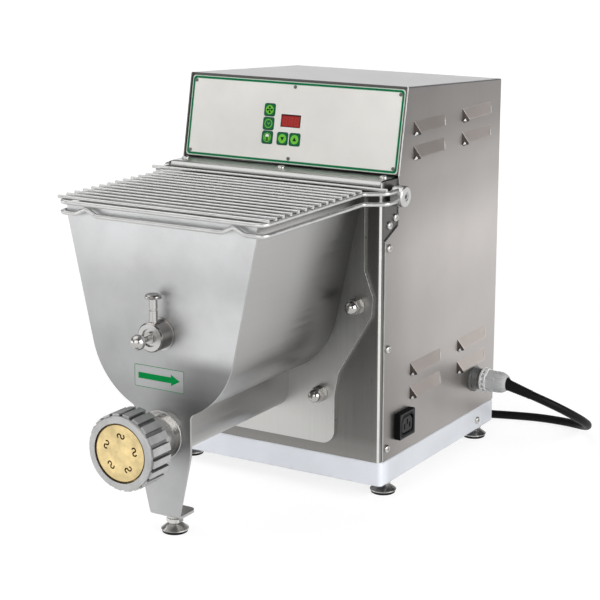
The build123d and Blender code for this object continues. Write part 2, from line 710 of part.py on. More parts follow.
def rear_plate():
    """Shield-shaped mounting plate with a lobe round each stud."""
    low_z = BASE_TOP_Z + 11
    upper_half = HOPPER_TOP_HALF + 4
    upper_x, upper_z = STUDS[0]
    lower_x, lower_z = STUDS[1]
    lobe_r, low_lobe_r = 18.0, 15.0
    shape = outline(
        (-upper_half, HOPPER_TOP_Z - 0.5),
        (upper_half, HOPPER_TOP_Z - 0.5),
        (upper_half, upper_z + 34),
        (upper_x + lobe_r - 1.5, upper_z + 8),
        (upper_x + lobe_r - 3, upper_z - 9),
        (lower_x + low_lobe_r + 4, lower_z + 22),
        (lower_x + low_lobe_r, lower_z),
        (lower_x + low_lobe_r, low_z),
        (-lower_x - low_lobe_r, low_z),
        (-lower_x - low_lobe_r, lower_z),
        (-lower_x - low_lobe_r - 4, lower_z + 22),
        (-upper_x - lobe_r + 3, upper_z - 9),
        (-upper_x - lobe_r + 1.5, upper_z + 8),
        (-upper_half, upper_z + 34),
    )
    corners = shape.vertices().filter_by(lambda v: v.Y < HOPPER_TOP_Z - 5)
    for corner in corners:
        near = shape.vertices().sort_by_distance(corner)[0]
        radius = 14.0 if corner.Y < low_z + 1 else 11.0 if corner.Y > upper_z - 20 else 22.0
        shape = fillet(near, radius)
    for z in (PADDLE_Z, AUGER_Z):
        shape -= Pos(0, z) * Circle(SEAL_R)
    for x, z in stud_places():
        shape -= Pos(x, z) * Circle(STUD_R + 0.1)
    save("hopper_rear_plate", along_y(shape, REAR_PLATE_Y, 0))


def hopper_fixings():
    studs, nuts, washers = [], [], []
    washer_t = 1.6
    seat_y = REAR_PLATE_Y - washer_t
    for x, z in stud_places():
        studs.append(rod_y(STUD_R, seat_y - 10, PANEL_T + 8, x, z))
        studs[-1] += rod_y(STUD_R + 4, PANEL_T, PANEL_T + 3, x, z)
        washers.append(ring_y(STUD_R + 4, STUD_R + 0.2, seat_y, REAR_PLATE_Y, x, z))
        nuts.append(Location((x, seat_y, z), (90, 0, 0)) * cap_nut())
    save("hopper_studs", *studs)
    save("hopper_washers", *washers)
    save("hopper_cap_nuts", *nuts)


def cap_nut():
    """Domed nut that stands on z = 0."""
    hex_h, dome_r = 8.0, CAP_AF / 2 - 0.3
    body = hex_rod(CAP_AF, hex_h)
    dome = Pos(0, 0, hex_h + 0.9) * Sphere(dome_r)
    dome &= Pos(0, 0, hex_h + dome_r / 2 + 0.5) * Box(20, 20, dome_r + 1)
    bore = Pos(0, 0, 5.25) * Cylinder(STUD_R + 0.05, 10.5)
    return body + dome - bore


# ---------------------------------------------------------------- paddle support
SUPPORT_R = 13.0
SUPPORT_L = 17.0
PULL_R = 5.0
PULL_TRAVEL = 14.0
PULL_TIP_L = 12.0  # how far the pull pin reaches into the paddle
KNOB_R = 6.75
KNOB_Y = FRONT_Y - 33.6
LOCK_Y = FRONT_Y - 10.5
LOCK_R = 3.6
LOCK_HEAD_R = 7.2
LOCK_TIP_R = 2.4
PADDLE_FRONT_Y = PLATE_BACK_Y + 3.0
LEG_FOOT_Y = FRONT_Y + 15.6


def paddle_support():
    face_y = FRONT_Y - SUPPORT_L
    boss = rod_y(SUPPORT_R, face_y, FRONT_Y, 0, PADDLE_Z)
    boss = chamfer(boss.edges().sort_by(Axis.Y)[0], 1.2)
    boss += rod_y(SUPPORT_R + 1.5, FRONT_Y - 1.2, FRONT_Y, 0, PADDLE_Z)
    boss -= rod_y(PULL_R + RUN, face_y - 1, FRONT_Y + 1, 0, PADDLE_Z)
    boss -= rod_y(8.0, face_y - 1, face_y + 1.8, 0, PADDLE_Z)
    boss -= rod_z(LOCK_R + RUN, PADDLE_Z + 7, PADDLE_Z + 20, 0, LOCK_Y)
    boss -= rod_z(LOCK_TIP_R + 0.1, PADDLE_Z, PADDLE_Z + 20, 0, LOCK_Y)
    save("paddle_boss", boss)

    pin_front_y = face_y - 1.5
    pin = rod_y(PULL_R, pin_front_y, PADDLE_FRONT_Y + PULL_TIP_L, 0, PADDLE_Z)
    pin = chamfer(pin.edges().sort_by(Axis.Y)[-1], 1.0)
    pin += rod_y(2.4, KNOB_Y, pin_front_y + 1, 0, PADDLE_Z)
    pin += Pos(0, KNOB_Y, PADDLE_Z) * Sphere(KNOB_R)
    keyway_z = PADDLE_Z + PULL_R - 2.4
    half = LOCK_TIP_R + 0.2
    pin -= block(
        -half, half, LOCK_Y - half, LOCK_Y + PULL_TRAVEL + half, keyway_z, PADDLE_Z + 20
    )
    save("paddle_pull_pin", pin)

    tip_z = keyway_z + 0.2
    shoulder_z = PADDLE_Z + 7.3
    stem_top_z = PADDLE_Z + 33.6
    lock = rod_z(LOCK_TIP_R, tip_z, shoulder_z, 0, LOCK_Y)
    lock += rod_z(LOCK_R, shoulder_z, stem_top_z, 0, LOCK_Y)
    groove_z = stem_top_z - 11
    groove = rod_z(LOCK_R + 1, groove_z, groove_z + 2, 0, LOCK_Y)
    lock -= groove - rod_z(LOCK_R - 0.7, groove_z, groove_z + 2, 0, LOCK_Y)
    head = Pos(0, LOCK_Y, stem_top_z + 1.8) * Cylinder(LOCK_HEAD_R, 3.6)
    head = fillet(head.edges().sort_by(Axis.Z)[-1], 2.4)
    save("paddle_lock_pin", lock + head)


def paddle():
    back_y = REAR_PLATE_Y - 4.0
    shaft = rod_y(SHAFT_R, PADDLE_FRONT_Y, back_y, 0, PADDLE_Z)
    arm_r = 4.5
    stations = 4
    step = (back_y - PADDLE_FRONT_Y - 40) / (stations - 1)
    for i in range(stations):
        y = PADDLE_FRONT_Y + 20 + i * step
        side = 1 if i % 2 else -1
        blade_x = side * (PADDLE_TIP_R - 9)
        arm = rod_x(arm_r, min(0, blade_x), max(0, blade_x), y, PADDLE_Z)
        blade = Pos(blade_x, y, PADDLE_Z) * Rot(25 * side, 0, 0) * Box(17, 26, 5)
        shaft += arm + blade
    shaft -= rod_y(PULL_R + RUN, PADDLE_FRONT_Y - 1, PADDLE_FRONT_Y + PULL_TIP_L + 2, 0, PADDLE_Z)
    shaft -= block(-5.1, 5.1, back_y - TENON_L - 1, back_y + 1, PADDLE_Z - 5.1, PADDLE_Z + 5.1)
    save("paddle", shaft)


# ---------------------------------------------------------------- auger, nose and die
TENON_L = 8.0
SEAL_R = 12.0


def barrel_nose():
    bore = NOSE_R - NOSE_WALL
    collar_t = 4.0
    nose = rod_y(NOSE_R, DIE_BACK_Y + 5, PLATE_BACK_Y, 0, AUGER_Z)
    nose += rod_y(CHANNEL_R + 0.6, FRONT_Y - collar_t, FRONT_Y, 0, AUGER_Z)
    nose += rod_y(NOSE_HEAD_R, DIE_BACK_Y, NUT_BACK_Y - 1, 0, AUGER_Z)
    nose -= rod_y(bore, NUT_FACE_Y, PLATE_BACK_Y + 1, 0, AUGER_Z)
    save("barrel_nose", nose)


def ring_nut():
    front_l = 3.0
    lip_l = DIE_SUNK + DIE_T - DIE_FLANGE_T - 0.1
    ribs = Circle(NUT_R)
    for i in range(RIBS):
        rib = Pos((NUT_R + RIB_R) / 2 - 1, 0) * Rectangle(RIB_R - NUT_R + 2, 6.8)
        ribs += Rot(0, 0, 360 / RIBS * (i + 0.5)) * rib
    nut = along_y(Pos(0, AUGER_Z) * ribs, NUT_FACE_Y + front_l, NUT_BACK_Y)
    rim = rod_y(RIB_R - 1.7, NUT_FACE_Y, NUT_FACE_Y + front_l, 0, AUGER_Z)
    nut += chamfer(rim.edges().sort_by(Axis.Y)[0], 0.8)
    nut -= rod_y(DIE_R + 1.0, NUT_FACE_Y - 1, NUT_BACK_Y + 1, 0, AUGER_Z)
    nut -= rod_y(NUT_BORE_R, NUT_FACE_Y + lip_l, NUT_BACK_Y + 1, 0, AUGER_Z)
    save("ring_nut", nut)


def s_slot():
    bend_r = 1.75
    upper = CenterArc((0, bend_r), bend_r, 160, -250)
    lower = CenterArc((0, -bend_r), bend_r, 90, 250)
    return trace([upper, lower], line_width=1.3)


def die():
    face_y = DIE_BACK_Y - DIE_T
    slots_r = 15.2
    first_angle = 14.0
    disc = Circle(DIE_R)
    flange = Circle(DIE_FLANGE_R)
    slot = s_slot()
    for i in range(5):
        angle = first_angle + 72 * i
        turned = Rot(0, 0, angle) * Pos(slots_r, 0) * slot
        disc -= turned
        flange -= turned
    plate = along_y(Pos(0, AUGER_Z) * disc, face_y, DIE_BACK_Y)
    plate += along_y(Pos(0, AUGER_Z) * flange, DIE_BACK_Y - DIE_FLANGE_T, DIE_BACK_Y)
    save("extrusion_die", plate)


def auger():
    back_y = REAR_PLATE_Y - 4.0
    front_y = DIE_BACK_Y + 5.0
    flight_y0 = front_y + 3.0
    flight_y1 = back_y - 8.0
    length = flight_y1 - flight_y0
    turns = length / AUGER_PITCH
    flight = Pos((AUGER_R + AUGER_CORE_R) / 2 - 0.5, 0) * Rectangle(
        AUGER_R - AUGER_CORE_R + 1, 3.2
    )
    plane = Plane(origin=(0, flight_y0, AUGER_Z), x_dir=(1, 0, 0), z_dir=(0, 1, 0))
    section = (plane * flight).face()
    screw = Solid.extrude_linear_with_rotation(
        section, (0, flight_y0, AUGER_Z), (0, length, 0), 360 * turns
    )
    core = rod_y(AUGER_CORE_R, front_y, flight_y1, 0, AUGER_Z)
    hub = rod_y(SHAFT_R, flight_y1, back_y, 0, AUGER_Z)
    body = core + hub + screw
    body -= block(-5.1, 5.1, back_y - TENON_L - 1, back_y + 1, AUGER_Z - 5.1, AUGER_Z + 5.1)
    save("auger", body)


# ---------------------------------------------------------------- drive
def gear_outline(teeth, turn):
    """Spur gear with 20 degree involute flanks, each drawn as one arc, turned by turn."""
    pressure = radians(20)
    backlash = 0.16
    pitch_r = MODULE * teeth / 2
    base_r = pitch_r * cos(pressure)
    tip_r = pitch_r + MODULE * 0.97
    root_r = pitch_r - 1.25 * MODULE
    half_at_pitch = (pi / 2) / teeth - backlash / (2 * pitch_r)

    def half_angle(r):
        roll = acos(min(1.0, base_r / r))
        return half_at_pitch + (tan(pressure) - pressure) - (tan(roll) - roll)

    def at(r, angle):
        return Vector(r * cos(angle), r * sin(angle))

    low_r = max(base_r, root_r)
    mid_r = (low_r + tip_r) / 2
    pitch_angle = 2 * pi / teeth
    edges = []
    for i in range(teeth):
        middle = radians(turn) + i * pitch_angle
        right = [at(r, middle - half_angle(r)) for r in (low_r, mid_r, tip_r)]
        left = [at(r, middle + half_angle(r)) for r in (tip_r, mid_r, low_r)]
        foot_right = at(root_r, middle - half_angle(low_r))
        foot_left = at(root_r, middle + half_angle(low_r))
        next_foot = at(root_r, middle + pitch_angle - half_angle(low_r))
        gap_middle = at(root_r, middle + pitch_angle / 2)
        if low_r > root_r + 1e-6:
            edges.append(Edge.make_line(foot_right, right[0]))
        edges.append(Edge.make_three_point_arc(*right))
        edges.append(Edge.make_three_point_arc(right[2], at(tip_r, middle), left[0]))
        edges.append(Edge.make_three_point_arc(*left))
        if low_r > root_r + 1e-6:
            edges.append(Edge.make_line(left[2], foot_left))
        edges.append(Edge.make_three_point_arc(foot_left, gap_middle, next_foot))
    return Face(Wire(edges))


def gear(teeth, z, turn, bore_r):
    body = along_y(Pos(0, z) * gear_outline(teeth, turn), GEAR_Y, GEAR_Y + GEAR_W)
    if bore_r:
        body -= rod_y(bore_r, GEAR_Y - 1, GEAR_Y + GEAR_W + 1, 0, z)
    return body


def drive_shaft(z):
    """Shaft through seal, bearings and gear, with a square tenon for what it turns."""
    shaft = rod_y(SHAFT_R, REAR_PLATE_Y - 4.0, DRIVE_PLATE_Y + DRIVE_PLATE_T + 2, 0, z)
    tip_y = REAR_PLATE_Y - 4.0
    return shaft + block(-5, 5, tip_y - TENON_L, tip_y + 1, z - 5, z + 5)


def geartrain():
    """Paddle and auger gears in mesh, and the motor's pinion above the paddle gear."""
    down = -90.0
    save("paddle_gear", gear(PADDLE_TEETH, PADDLE_Z, down, SHAFT_R))
    save("paddle_shaft", drive_shaft(PADDLE_Z))
    auger_turn = 90.0 + 180.0 / AUGER_TEETH
    save("auger_gear", gear(AUGER_TEETH, AUGER_Z, auger_turn, SHAFT_R))
    save("auger_shaft", drive_shaft(AUGER_Z))
    pinion_turn = -90.0 + 180.0 / PINION_TEETH
    pinion = gear(PINION_TEETH, MOTOR_Z, pinion_turn, 0)
    pinion += rod_y(7.0, GEAR_Y + GEAR_W, DRIVE_PLATE_Y + DRIVE_PLATE_T + 1, 0, MOTOR_Z)
    save("motor_pinion", pinion)


def drive_frame():
    """Front bearing plate on the panel, rear drive plate, and the posts between them."""
    y0, y1 = PANEL_T, PANEL_T + BEARING_PLATE_T
    low_z, high_z = AUGER_Z - 30, PADDLE_Z + 32
    front = block(-30, 30, y0, y1, low_z, high_z)
    front = fillet(front.edges().filter_by(Axis.Y), 6.0)
    rear_y1 = DRIVE_PLATE_Y + DRIVE_PLATE_T
    half = 66.0
    rear = block(-half, half, DRIVE_PLATE_Y, rear_y1, BASE_TOP_Z, MOTOR_Z + 38)
    rear += block(-half, half, rear_y1, rear_y1 + 34, BASE_TOP_Z, BASE_TOP_Z + 5)
    post_r = 5.0
    for x in (-60, 60):
        for z in (BASE_TOP_Z + 16, PADDLE_Z + 62):
            rear += rod_y(post_r, PANEL_T, DRIVE_PLATE_Y + 1, x, z)
    bearings = []
    for z in (PADDLE_Z, AUGER_Z):
        front -= rod_y(BEARING_R, y0 - 1, y1 + 1, 0, z)
        rear -= rod_y(BEARING_R, DRIVE_PLATE_Y - 1, rear_y1 + 1, 0, z)
        bearings.append(ring_y(BEARING_R, SHAFT_R + RUN, y0 + 0.1, y1, 0, z))
        bearings.append(ring_y(BEARING_R, SHAFT_R + RUN, DRIVE_PLATE_Y, rear_y1, 0, z))
    rear -= rod_y(7.0 + 0.3, DRIVE_PLATE_Y - 1, rear_y1 + 1, 0, MOTOR_Z)
    save("bearing_plate", front)
    save("drive_plate", rear)
    save("drive_bearings", *bearings)
    seals = [
        ring_y(SEAL_R, SHAFT_R + RUN, REAR_PLATE_Y, PANEL_T, 0, z)
        for z in (PADDLE_Z, AUGER_Z)
    ]
    save("shaft_seals", *seals)


def motor():
    box_y0 = DRIVE_PLATE_Y + DRIVE_PLATE_T
    box_y1 = box_y0 + 36.0
    gearbox = block(-34, 34, box_y0, box_y1, MOTOR_Z - 38, MOTOR_Z + 38)
    gearbox = fillet(gearbox.edges().filter_by(Axis.Y), 8.0)
    gearbox -= rod_y(7.0 + RUN, box_y0 - 1, box_y0 + 3, 0, MOTOR_Z)
    save("gearbox_housing", gearbox)
    cap_l = 16.0
    end_y = box_y1 + MOTOR_L
    fins = Circle(MOTOR_R - 4)
    count = 28
    for i in range(count):
        fins += Rot(0, 0, 360 / count * i) * Pos(MOTOR_R - 4, 0) * Rectangle(8, 2.4)
    body = along_y(Pos(0, MOTOR_Z) * fins, box_y1 + cap_l, end_y - cap_l)
    for y in (box_y1, end_y - cap_l):
        body += rod_y(MOTOR_R + 1, y, y + cap_l, 0, MOTOR_Z)
    save("motor_housing", body)
    top_z = BASE_TOP_Z + 72
    save("run_capacitor", fillet(
        rod_z(20, BASE_TOP_Z, top_z, -70, box_y1 + 40).edges().sort_by(Axis.Z)[-1], 2.5
    ))


# ---------------------------------------------------------------- outlet, gland, feet
GLAND_THREAD_R = 10.0
GLAND_MOUTH_R = 5.8
GLAND_MOUTH_L = 3.0


def outlet():
    """Three-slot appliance outlet, snapped into the right wall."""
    proud = 6.0
    y1, z1 = OUTLET_Y + OUTLET_W, OUTLET_Z + OUTLET_H
    flange = block(SIDE, SIDE + proud, OUTLET_Y, y1, OUTLET_Z, z1)
    flange = fillet(flange.edges().filter_by(Axis.X), 2.0)
    flange = fillet(flange.faces().sort_by(Axis.X)[-1].edges(), 1.0)
    body = block(SIDE - 22, SIDE, OUTLET_Y + 1.7, y1 - 1.7, OUTLET_Z + 1.7, z1 - 1.7)
    mid_y, mid_z = (OUTLET_Y + y1) / 2, (OUTLET_Z + z1) / 2
    well = block(SIDE + 1, SIDE + 10, mid_y - 11, mid_y + 11, mid_z - 8.5, mid_z + 8.5)
    well = fillet(well.edges().filter_by(Axis.X), 3.5)
    core = block(SIDE + 1, SIDE + proud - 0.6, mid_y - 8.4, mid_y + 8.4, mid_z - 6, mid_z + 6)
    core = fillet(core.edges().filter_by(Axis.X), 3.0)
    shape = flange + body - (well - core)
    for y, z in ((mid_y - 5, mid_z - 1.5), (mid_y + 5, mid_z - 1.5), (mid_y, mid_z + 2.5)):
        shape -= block(SIDE - 10, SIDE + 10, y - 1, y + 1, z - 2.6, z + 2.6)
    save("power_outlet", shape)


def gland():
    """Cable gland: threaded body with flange and hexagon, and the dome nut over the cord."""
    flange_x, hex_x, nut_x = SIDE + 11.5, SIDE + 13.0, SIDE + 17.0
    end_x = SIDE + GLAND_L
    body = rod_x(GLAND_THREAD_R, SIDE - 10, nut_x, GLAND_Y, GLAND_Z)
    for i in range(4):
        x = SIDE + 1.4 + 2.5 * i
        body += rod_x(GLAND_THREAD_R + 0.8, x, x + 1.2, GLAND_Y, GLAND_Z)
    body += rod_x(GLAND_R + 1.2, flange_x, hex_x, GLAND_Y, GLAND_Z)
    place = Location((hex_x, GLAND_Y, GLAND_Z), (0, 90, 0))
    body += place * hex_rod(2 * GLAND_R - 0.4, nut_x - hex_x)
    body -= rod_x(CORD_R + 1, SIDE - 12, hex_x, GLAND_Y, GLAND_Z)
    save("gland_body", body)
    nut = rod_x(GLAND_R, nut_x, end_x, GLAND_Y, GLAND_Z)
    nut = fillet(nut.edges().sort_by(Axis.X)[-1], 4.5)
    nut -= rod_x(GLAND_MOUTH_R, end_x - GLAND_MOUTH_L, end_x + 1, GLAND_Y, GLAND_Z)
    save("gland_dome_nut", nut)
    return nut


def foot(x, y, height, stud_top):
    """Levelling foot: rubber pad, steel cone, hexagon and threaded stud."""
    pad = rod_z(FOOT_R, 0, PAD_H, x, y)
    pad = fillet(pad.edges().sort_by(Axis.Z)[0], 1.2)
    cone_h = 5.5
    cone = Pos(x, y, PAD_H + cone_h / 2) * Cone(FOOT_R - 1, 7.5, cone_h)
    neck_z = PAD_H + cone_h
    cone += Pos(x, y, neck_z) * hex_rod(13.0, height - 0.3 - neck_z)
    cone += rod_z(STUD_R, neck_z, stud_top, x, y)
    return pad, cone


def feet():
    names = {
        "foot_front_left": (-FEET_X, FEET_Y[0]),
        "foot_front_right": (FEET_X, FEET_Y[0]),
        "foot_rear_left": (-FEET_X, FEET_Y[1]),
        "foot_rear_right": (FEET_X, FEET_Y[1]),
    }
    for name, (x, y) in names.items():
        save(name, *foot(x, y, BASE_BOTTOM_Z, BASE_TOP_Z - 4))
    save("foot_hopper_leg", *foot(0, LEG_FOOT_Y, TAB_Z, TAB_Z + PLATE_T + 5))


# ---------------------------------------------------------------- mains cord
COIL_AT = (-5.0, CASE_D + 73.0)
LAY = 3 * 2 * CORD_R  # the coil is three turns wide and two high
TAIL_L = 76.0
U_TURN_R = 52.5
U_TURN_HEIGHTS = (62.5, 49.5, 33.0, 18.0, 7.5, CORD_R)
SUNK = 2.0  # start of the cord's line inside the gland


def cord_points():
    """Route of the cord: out of the gland, down and round to the back, and into the coil."""
    start_x = SIDE + GLAND_L - GLAND_MOUTH_L - SUNK
    points = [(start_x, GLAND_Y, GLAND_Z)]
    step = 180 / len(U_TURN_HEIGHTS)
    reach = U_TURN_R / cos(radians(step / 2))
    for i, z in enumerate(U_TURN_HEIGHTS):
        angle = radians(-90 + step * (i + 0.5))
        x = start_x + 14 + reach * cos(angle)
        points.append((x, GLAND_Y + U_TURN_R + reach * sin(angle), z))
    coil_x, coil_y = COIL_AT
    near_y = coil_y - COIL_R - LAY / 3
    for back, out in ((153, 39.8), (122, 31), (89, 19), (55, 8), (25, 1.8), (0, 0)):
        points.append((coil_x + back, near_y + out, CORD_R))
    return points


def cord(gland_nut):
    points = [Vector(*p) for p in cord_points()]
    runs = [b - a for a, b in zip(points, points[1:])]
    radii = []
    for before, after in zip(runs, runs[1:]):
        turn = radians(before.get_angle(after))
        radii.append(0.45 * min(before.length, after.length) / tan(turn / 2))
    print("cord radii", [round(r) for r in radii], "runs", [round(r.length) for r in runs])
    path = FilletPolyline(*points, radius=radii)
    tube = sweep(Plane(origin=path @ 0, z_dir=path % 0) * Circle(CORD_R), path=path)
    area = pi * CORD_R**2
    print("cord tube length", round(path.length, 1), "volume ratio",
          round(tube.volume / (area * path.length), 4))
    coil_x, coil_y = COIL_AT
    height = 4 * CORD_R
    section = Plane.XZ * Pos(COIL_R, height / 2) * RectangleRounded(LAY, height, 2 * CORD_R - 0.6)
    coil = Pos(coil_x, coil_y, 0) * revolve(section, Axis.Z, 360)
    tail_start = Vector(coil_x - 20, coil_y - COIL_R, 3 * CORD_R)
    tail_end = Vector(coil_x - TAIL_L, coil_y - COIL_R, PLUG_R)
    tail_line = Line(tail_start, tail_end)
    tail = sweep(Plane(origin=tail_start, z_dir=tail_line % 0) * Circle(CORD_R), path=tail_line)
    plug_shape = plug(tail_end)
    save("cord", tube - coil - gland_nut, tail - coil - plug_shape)
    save("cord_coil", coil)
    save("plug", plug_shape)


PLUG_R = 18.5


def plug(at):
    """Round two-pin earthed plug, lying on its rim, its cord end at the point given."""
    x, y, z = at
    pin_x = x - 52
    grip = Pos(x - 17, y, z) * Rot(0, -90, 0) * Cone(7.5, 13.0, 34)
    head = rod_x(PLUG_R, x - 52, x - 34, y, z)
    head = fillet(head.edges().filter_by(GeomType.CIRCLE), 2.0)
    pins = [rod_x(2.4, pin_x - 19, pin_x + 1, y + side * 9.5, z) for side in (1, -1)]
    return grip + head + pins[0] + pins[1]


def main():
    base_tray()
    hood()
    front_panel()
    rear_cover()
    case_screws()
    fascia()
    fascia_rivets()
    buttons()
    control_board()
    lid()
    hinge_fixings()
    hopper_sides()
    auger_channel()
    front_plate()
    rear_plate()
    hopper_fixings()
    paddle_support()
    paddle()
    barrel_nose()
    ring_nut()
    die()
    auger()
    geartrain()
    drive_frame()
    motor()
    outlet()
    feet()
    cord(gland())


main()
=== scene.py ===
"""Looks of the electric pasta maker: materials, fine detail, light and camera.

Metres, +Z up. Sizes are written in millimetres and placed by at(), which also moves them
by SHIFT, so that Y = 0 is midway along the machine without its cord.
"""

from math import cos, hypot, pi, radians, sin

import bmesh
import bpy
from mathutils import Matrix, Vector


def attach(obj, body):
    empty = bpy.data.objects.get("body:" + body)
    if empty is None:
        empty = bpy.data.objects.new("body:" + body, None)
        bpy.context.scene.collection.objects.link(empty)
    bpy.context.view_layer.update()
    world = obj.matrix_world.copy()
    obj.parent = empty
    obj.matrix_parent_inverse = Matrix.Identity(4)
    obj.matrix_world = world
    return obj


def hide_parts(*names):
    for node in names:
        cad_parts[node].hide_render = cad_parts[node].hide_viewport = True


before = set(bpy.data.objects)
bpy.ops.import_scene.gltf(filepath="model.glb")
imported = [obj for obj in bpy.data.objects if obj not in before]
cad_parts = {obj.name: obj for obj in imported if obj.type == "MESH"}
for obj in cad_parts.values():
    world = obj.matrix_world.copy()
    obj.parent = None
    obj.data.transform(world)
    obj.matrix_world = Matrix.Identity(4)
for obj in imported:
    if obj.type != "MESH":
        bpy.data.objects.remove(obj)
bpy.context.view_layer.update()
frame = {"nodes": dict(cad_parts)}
NODES = frame["nodes"]

MM = 0.001
SHIFT = -2.2                 # from the front panel's face to the machine's middle
SIDE = 118.5                 # half width over the hood's side sheets
TOP_Z = 380.0
FASCIA_FOOT = (29.0, 301.0)  # Y and Z of the fascia's lower edge
FASCIA_LEAN = 15.9           # how far its top leans back
AUGER_Z = 95.0
FRONT_Y = -178.0             # face of the hopper's front plate
DIE_Y = -240.0               # face of the die
DIE_R = 25.28
GLAND = (195.0, 69.8)        # Y and Z of the gland's axis
CORD_R = 4.25


def at(x, y, z):
    """A point in millimetres, measured from the front panel's face, in the frame's metres."""
    return Vector((x * MM, (y + SHIFT) * MM, z * MM))


# ---------------------------------------------------------------- camera
# Fitted to the photograph: the lens is moved in its pixels, and the roll is in degrees.
PHOTO_W = 600
LENS = 105.86
LENS_MOVED = (28.6, 0.7)
CAMERA_AT = (855.5, -1364.3, 575.7)
CAMERA_AIM = (0, 0, 176.3)
CAMERA_ROLL = -0.2


def make_camera():
    data = bpy.data.cameras.new("camera")
    data.lens = LENS
    data.sensor_width = 36.0
    data.shift_x, data.shift_y = (pixels / PHOTO_W for pixels in LENS_MOVED)
    camera = bpy.data.objects.new("camera", data)
    bpy.context.scene.collection.objects.link(camera)
    camera.location = at(*CAMERA_AT)
    camera.rotation_mode = "QUATERNION"
    turn = (at(*CAMERA_AIM) - camera.location).to_track_quat("-Z", "Y")
    roll = Matrix.Rotation(radians(CAMERA_ROLL), 4, "Z").to_quaternion()
    camera.rotation_quaternion = turn @ roll
    bpy.context.scene.camera = camera


make_camera()


# ---------------------------------------------------------------- making meshes
def mesh_of(name, verts, faces):
    mesh = bpy.data.meshes.new(name)
    mesh.from_pydata([tuple(v) for v in verts], [], faces)
    clean = bmesh.new()
    clean.from_mesh(mesh)
    bmesh.ops.remove_doubles(clean, verts=clean.verts, dist=1e-7)
    bmesh.ops.recalc_face_normals(clean, faces=clean.faces)
    clean.to_mesh(mesh)
    clean.free()
    return mesh


class Shape:
    """Points and faces of one mesh, gathered from several forms, in millimetres."""

    def __init__(self):
        self.verts = []
        self.faces = []

    def loops(self, rings, caps=(False, False)):
        """Skin closed rings of as many points each, one after another."""
        n = len(rings[0])
        base = len(self.verts)
        self.verts += [Vector(p) for ring in rings for p in ring]
        faces = []
        for k in range(len(rings) - 1):
            for i in range(n):
                j = (i + 1) % n
                faces.append((k * n + i, k * n + j, (k + 1) * n + j, (k + 1) * n + i))
        if caps[0]:
            faces.append(tuple(range(n)))
        if caps[1]:
            faces.append(tuple((len(rings) - 1) * n + i for i in range(n)))
        self.faces += [tuple(base + i for i in face) for face in faces]
        return self

    def lathe(self, profile, plane, n, radius=None, caps=(True, True)):
        """Turn (radius, height) pairs about a plane's Z. radius(r, angle, h) may vary them."""
        rings = []
        for r, h in profile:
            ring = []
            for i in range(n):
                angle = 2 * pi * i / n
                rr = radius(r, angle, h) if radius else r
                ring.append(plane @ Vector((rr * cos(angle), rr * sin(angle), h)))
            rings.append(ring)
        return self.loops(rings, caps=caps)

    def film(self, plane, outline, heights):
        """A thin printed form: the outline between two heights over a plane."""
        return self.loops([lifted(outline, plane, h) for h in heights], caps=(True, True))

    def band(self, plane, outer, inner, heights):
        """A thin printed form between two outlines that have as many points."""
        low, high = heights
        return self.loops([lifted(outer, plane, low), lifted(outer, plane, high),
                           lifted(inner, plane, high), lifted(inner, plane, low),
                           lifted(outer, plane, low)])

    def frame(self, plane, centre, size, line, radii, heights):
        """A printed line of one width along the inside of a rounded rectangle."""
        w, h = size
        return self.band(plane, rounded_rect(*centre, w, h, radii[0]),
                         rounded_rect(*centre, w - 2 * line, h - 2 * line, radii[1]), heights)

    def mesh(self, name):
        return mesh_of(name, [at(*v) for v in self.verts], self.faces)


def piece(name, form, material, body, smooth=40):
    """A new object of the part from a Shape or a curve, with its material and body."""
    data = form.mesh(name) if isinstance(form, Shape) else form
    obj = bpy.data.objects.new(name, data)
    bpy.context.scene.collection.objects.link(obj)
    data.materials.append(material)
    if smooth is not None and isinstance(data, bpy.types.Mesh):
        data.shade_smooth()
        data.set_sharp_from_angle(angle=radians(smooth))
    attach(obj, body)
    return obj


def place(origin, z_axis, x_axis=(1, 0, 0)):
    """Matrix whose Z runs along z_axis and whose origin is given, in millimetres."""
    z = Vector(z_axis).normalized()
    x = Vector(x_axis)
    x = (x - z * x.dot(z)).normalized()
    y = z.cross(x)
    turn = Matrix((x, y, z)).transposed().to_4x4()
    return Matrix.Translation(Vector(origin)) @ turn


FASCIA = place((0, *FASCIA_FOOT), (0, -(TOP_Z - FASCIA_FOOT[1]), FASCIA_LEAN))
FRONT = place((0, FRONT_Y, 0), (0, -1, 0))


def rounded_rect(cx, cy, w, h, r, n=6):
    points = []
    for qx, qy, start in ((1, 1, 0), (-1, 1, 90), (-1, -1, 180), (1, -1, 270)):
        for i in range(n + 1):
            angle = radians(start + 90 * i / n)
            points.append((cx + qx * (w / 2 - r) + r * cos(angle),
                           cy + qy * (h / 2 - r) + r * sin(angle)))
    return points


def circle(cx, cy, r, n=40, start=0.0, sweep=360.0):
    """A circle, or an arc with both its ends."""
    count = n if abs(sweep) >= 360 else n + 1
    return [(cx + r * cos(radians(start + sweep * i / n)),
             cy + r * sin(radians(start + sweep * i / n))) for i in range(count)]


def lifted(outline, plane, h):
    return [plane @ Vector((x, y, h)) for x, y in outline]


def moved(outline, angle, dx=0, dy=0):
    """The outline turned about its origin by an angle in degrees, then moved."""
    c, s = cos(radians(angle)), sin(radians(angle))
    return [(dx + (x * c - y * s), dy + (x * s + y * c)) for x, y in outline]


# ---------------------------------------------------------------- shader nodes
NOISE_SPAN = (0.3, 0.7)     # where most of a noise's values lie
RAMP_TOP = 1.5              # largest factor that a ramp holds
BEVEL_SAMPLES = 4
ONES = (1.0, 1.0, 1.0)
BRUSH_LINES = (420.0, 9.0)  # noise scales across and along the brushing
BRUSH_BANDS = (150.0, 4.0)


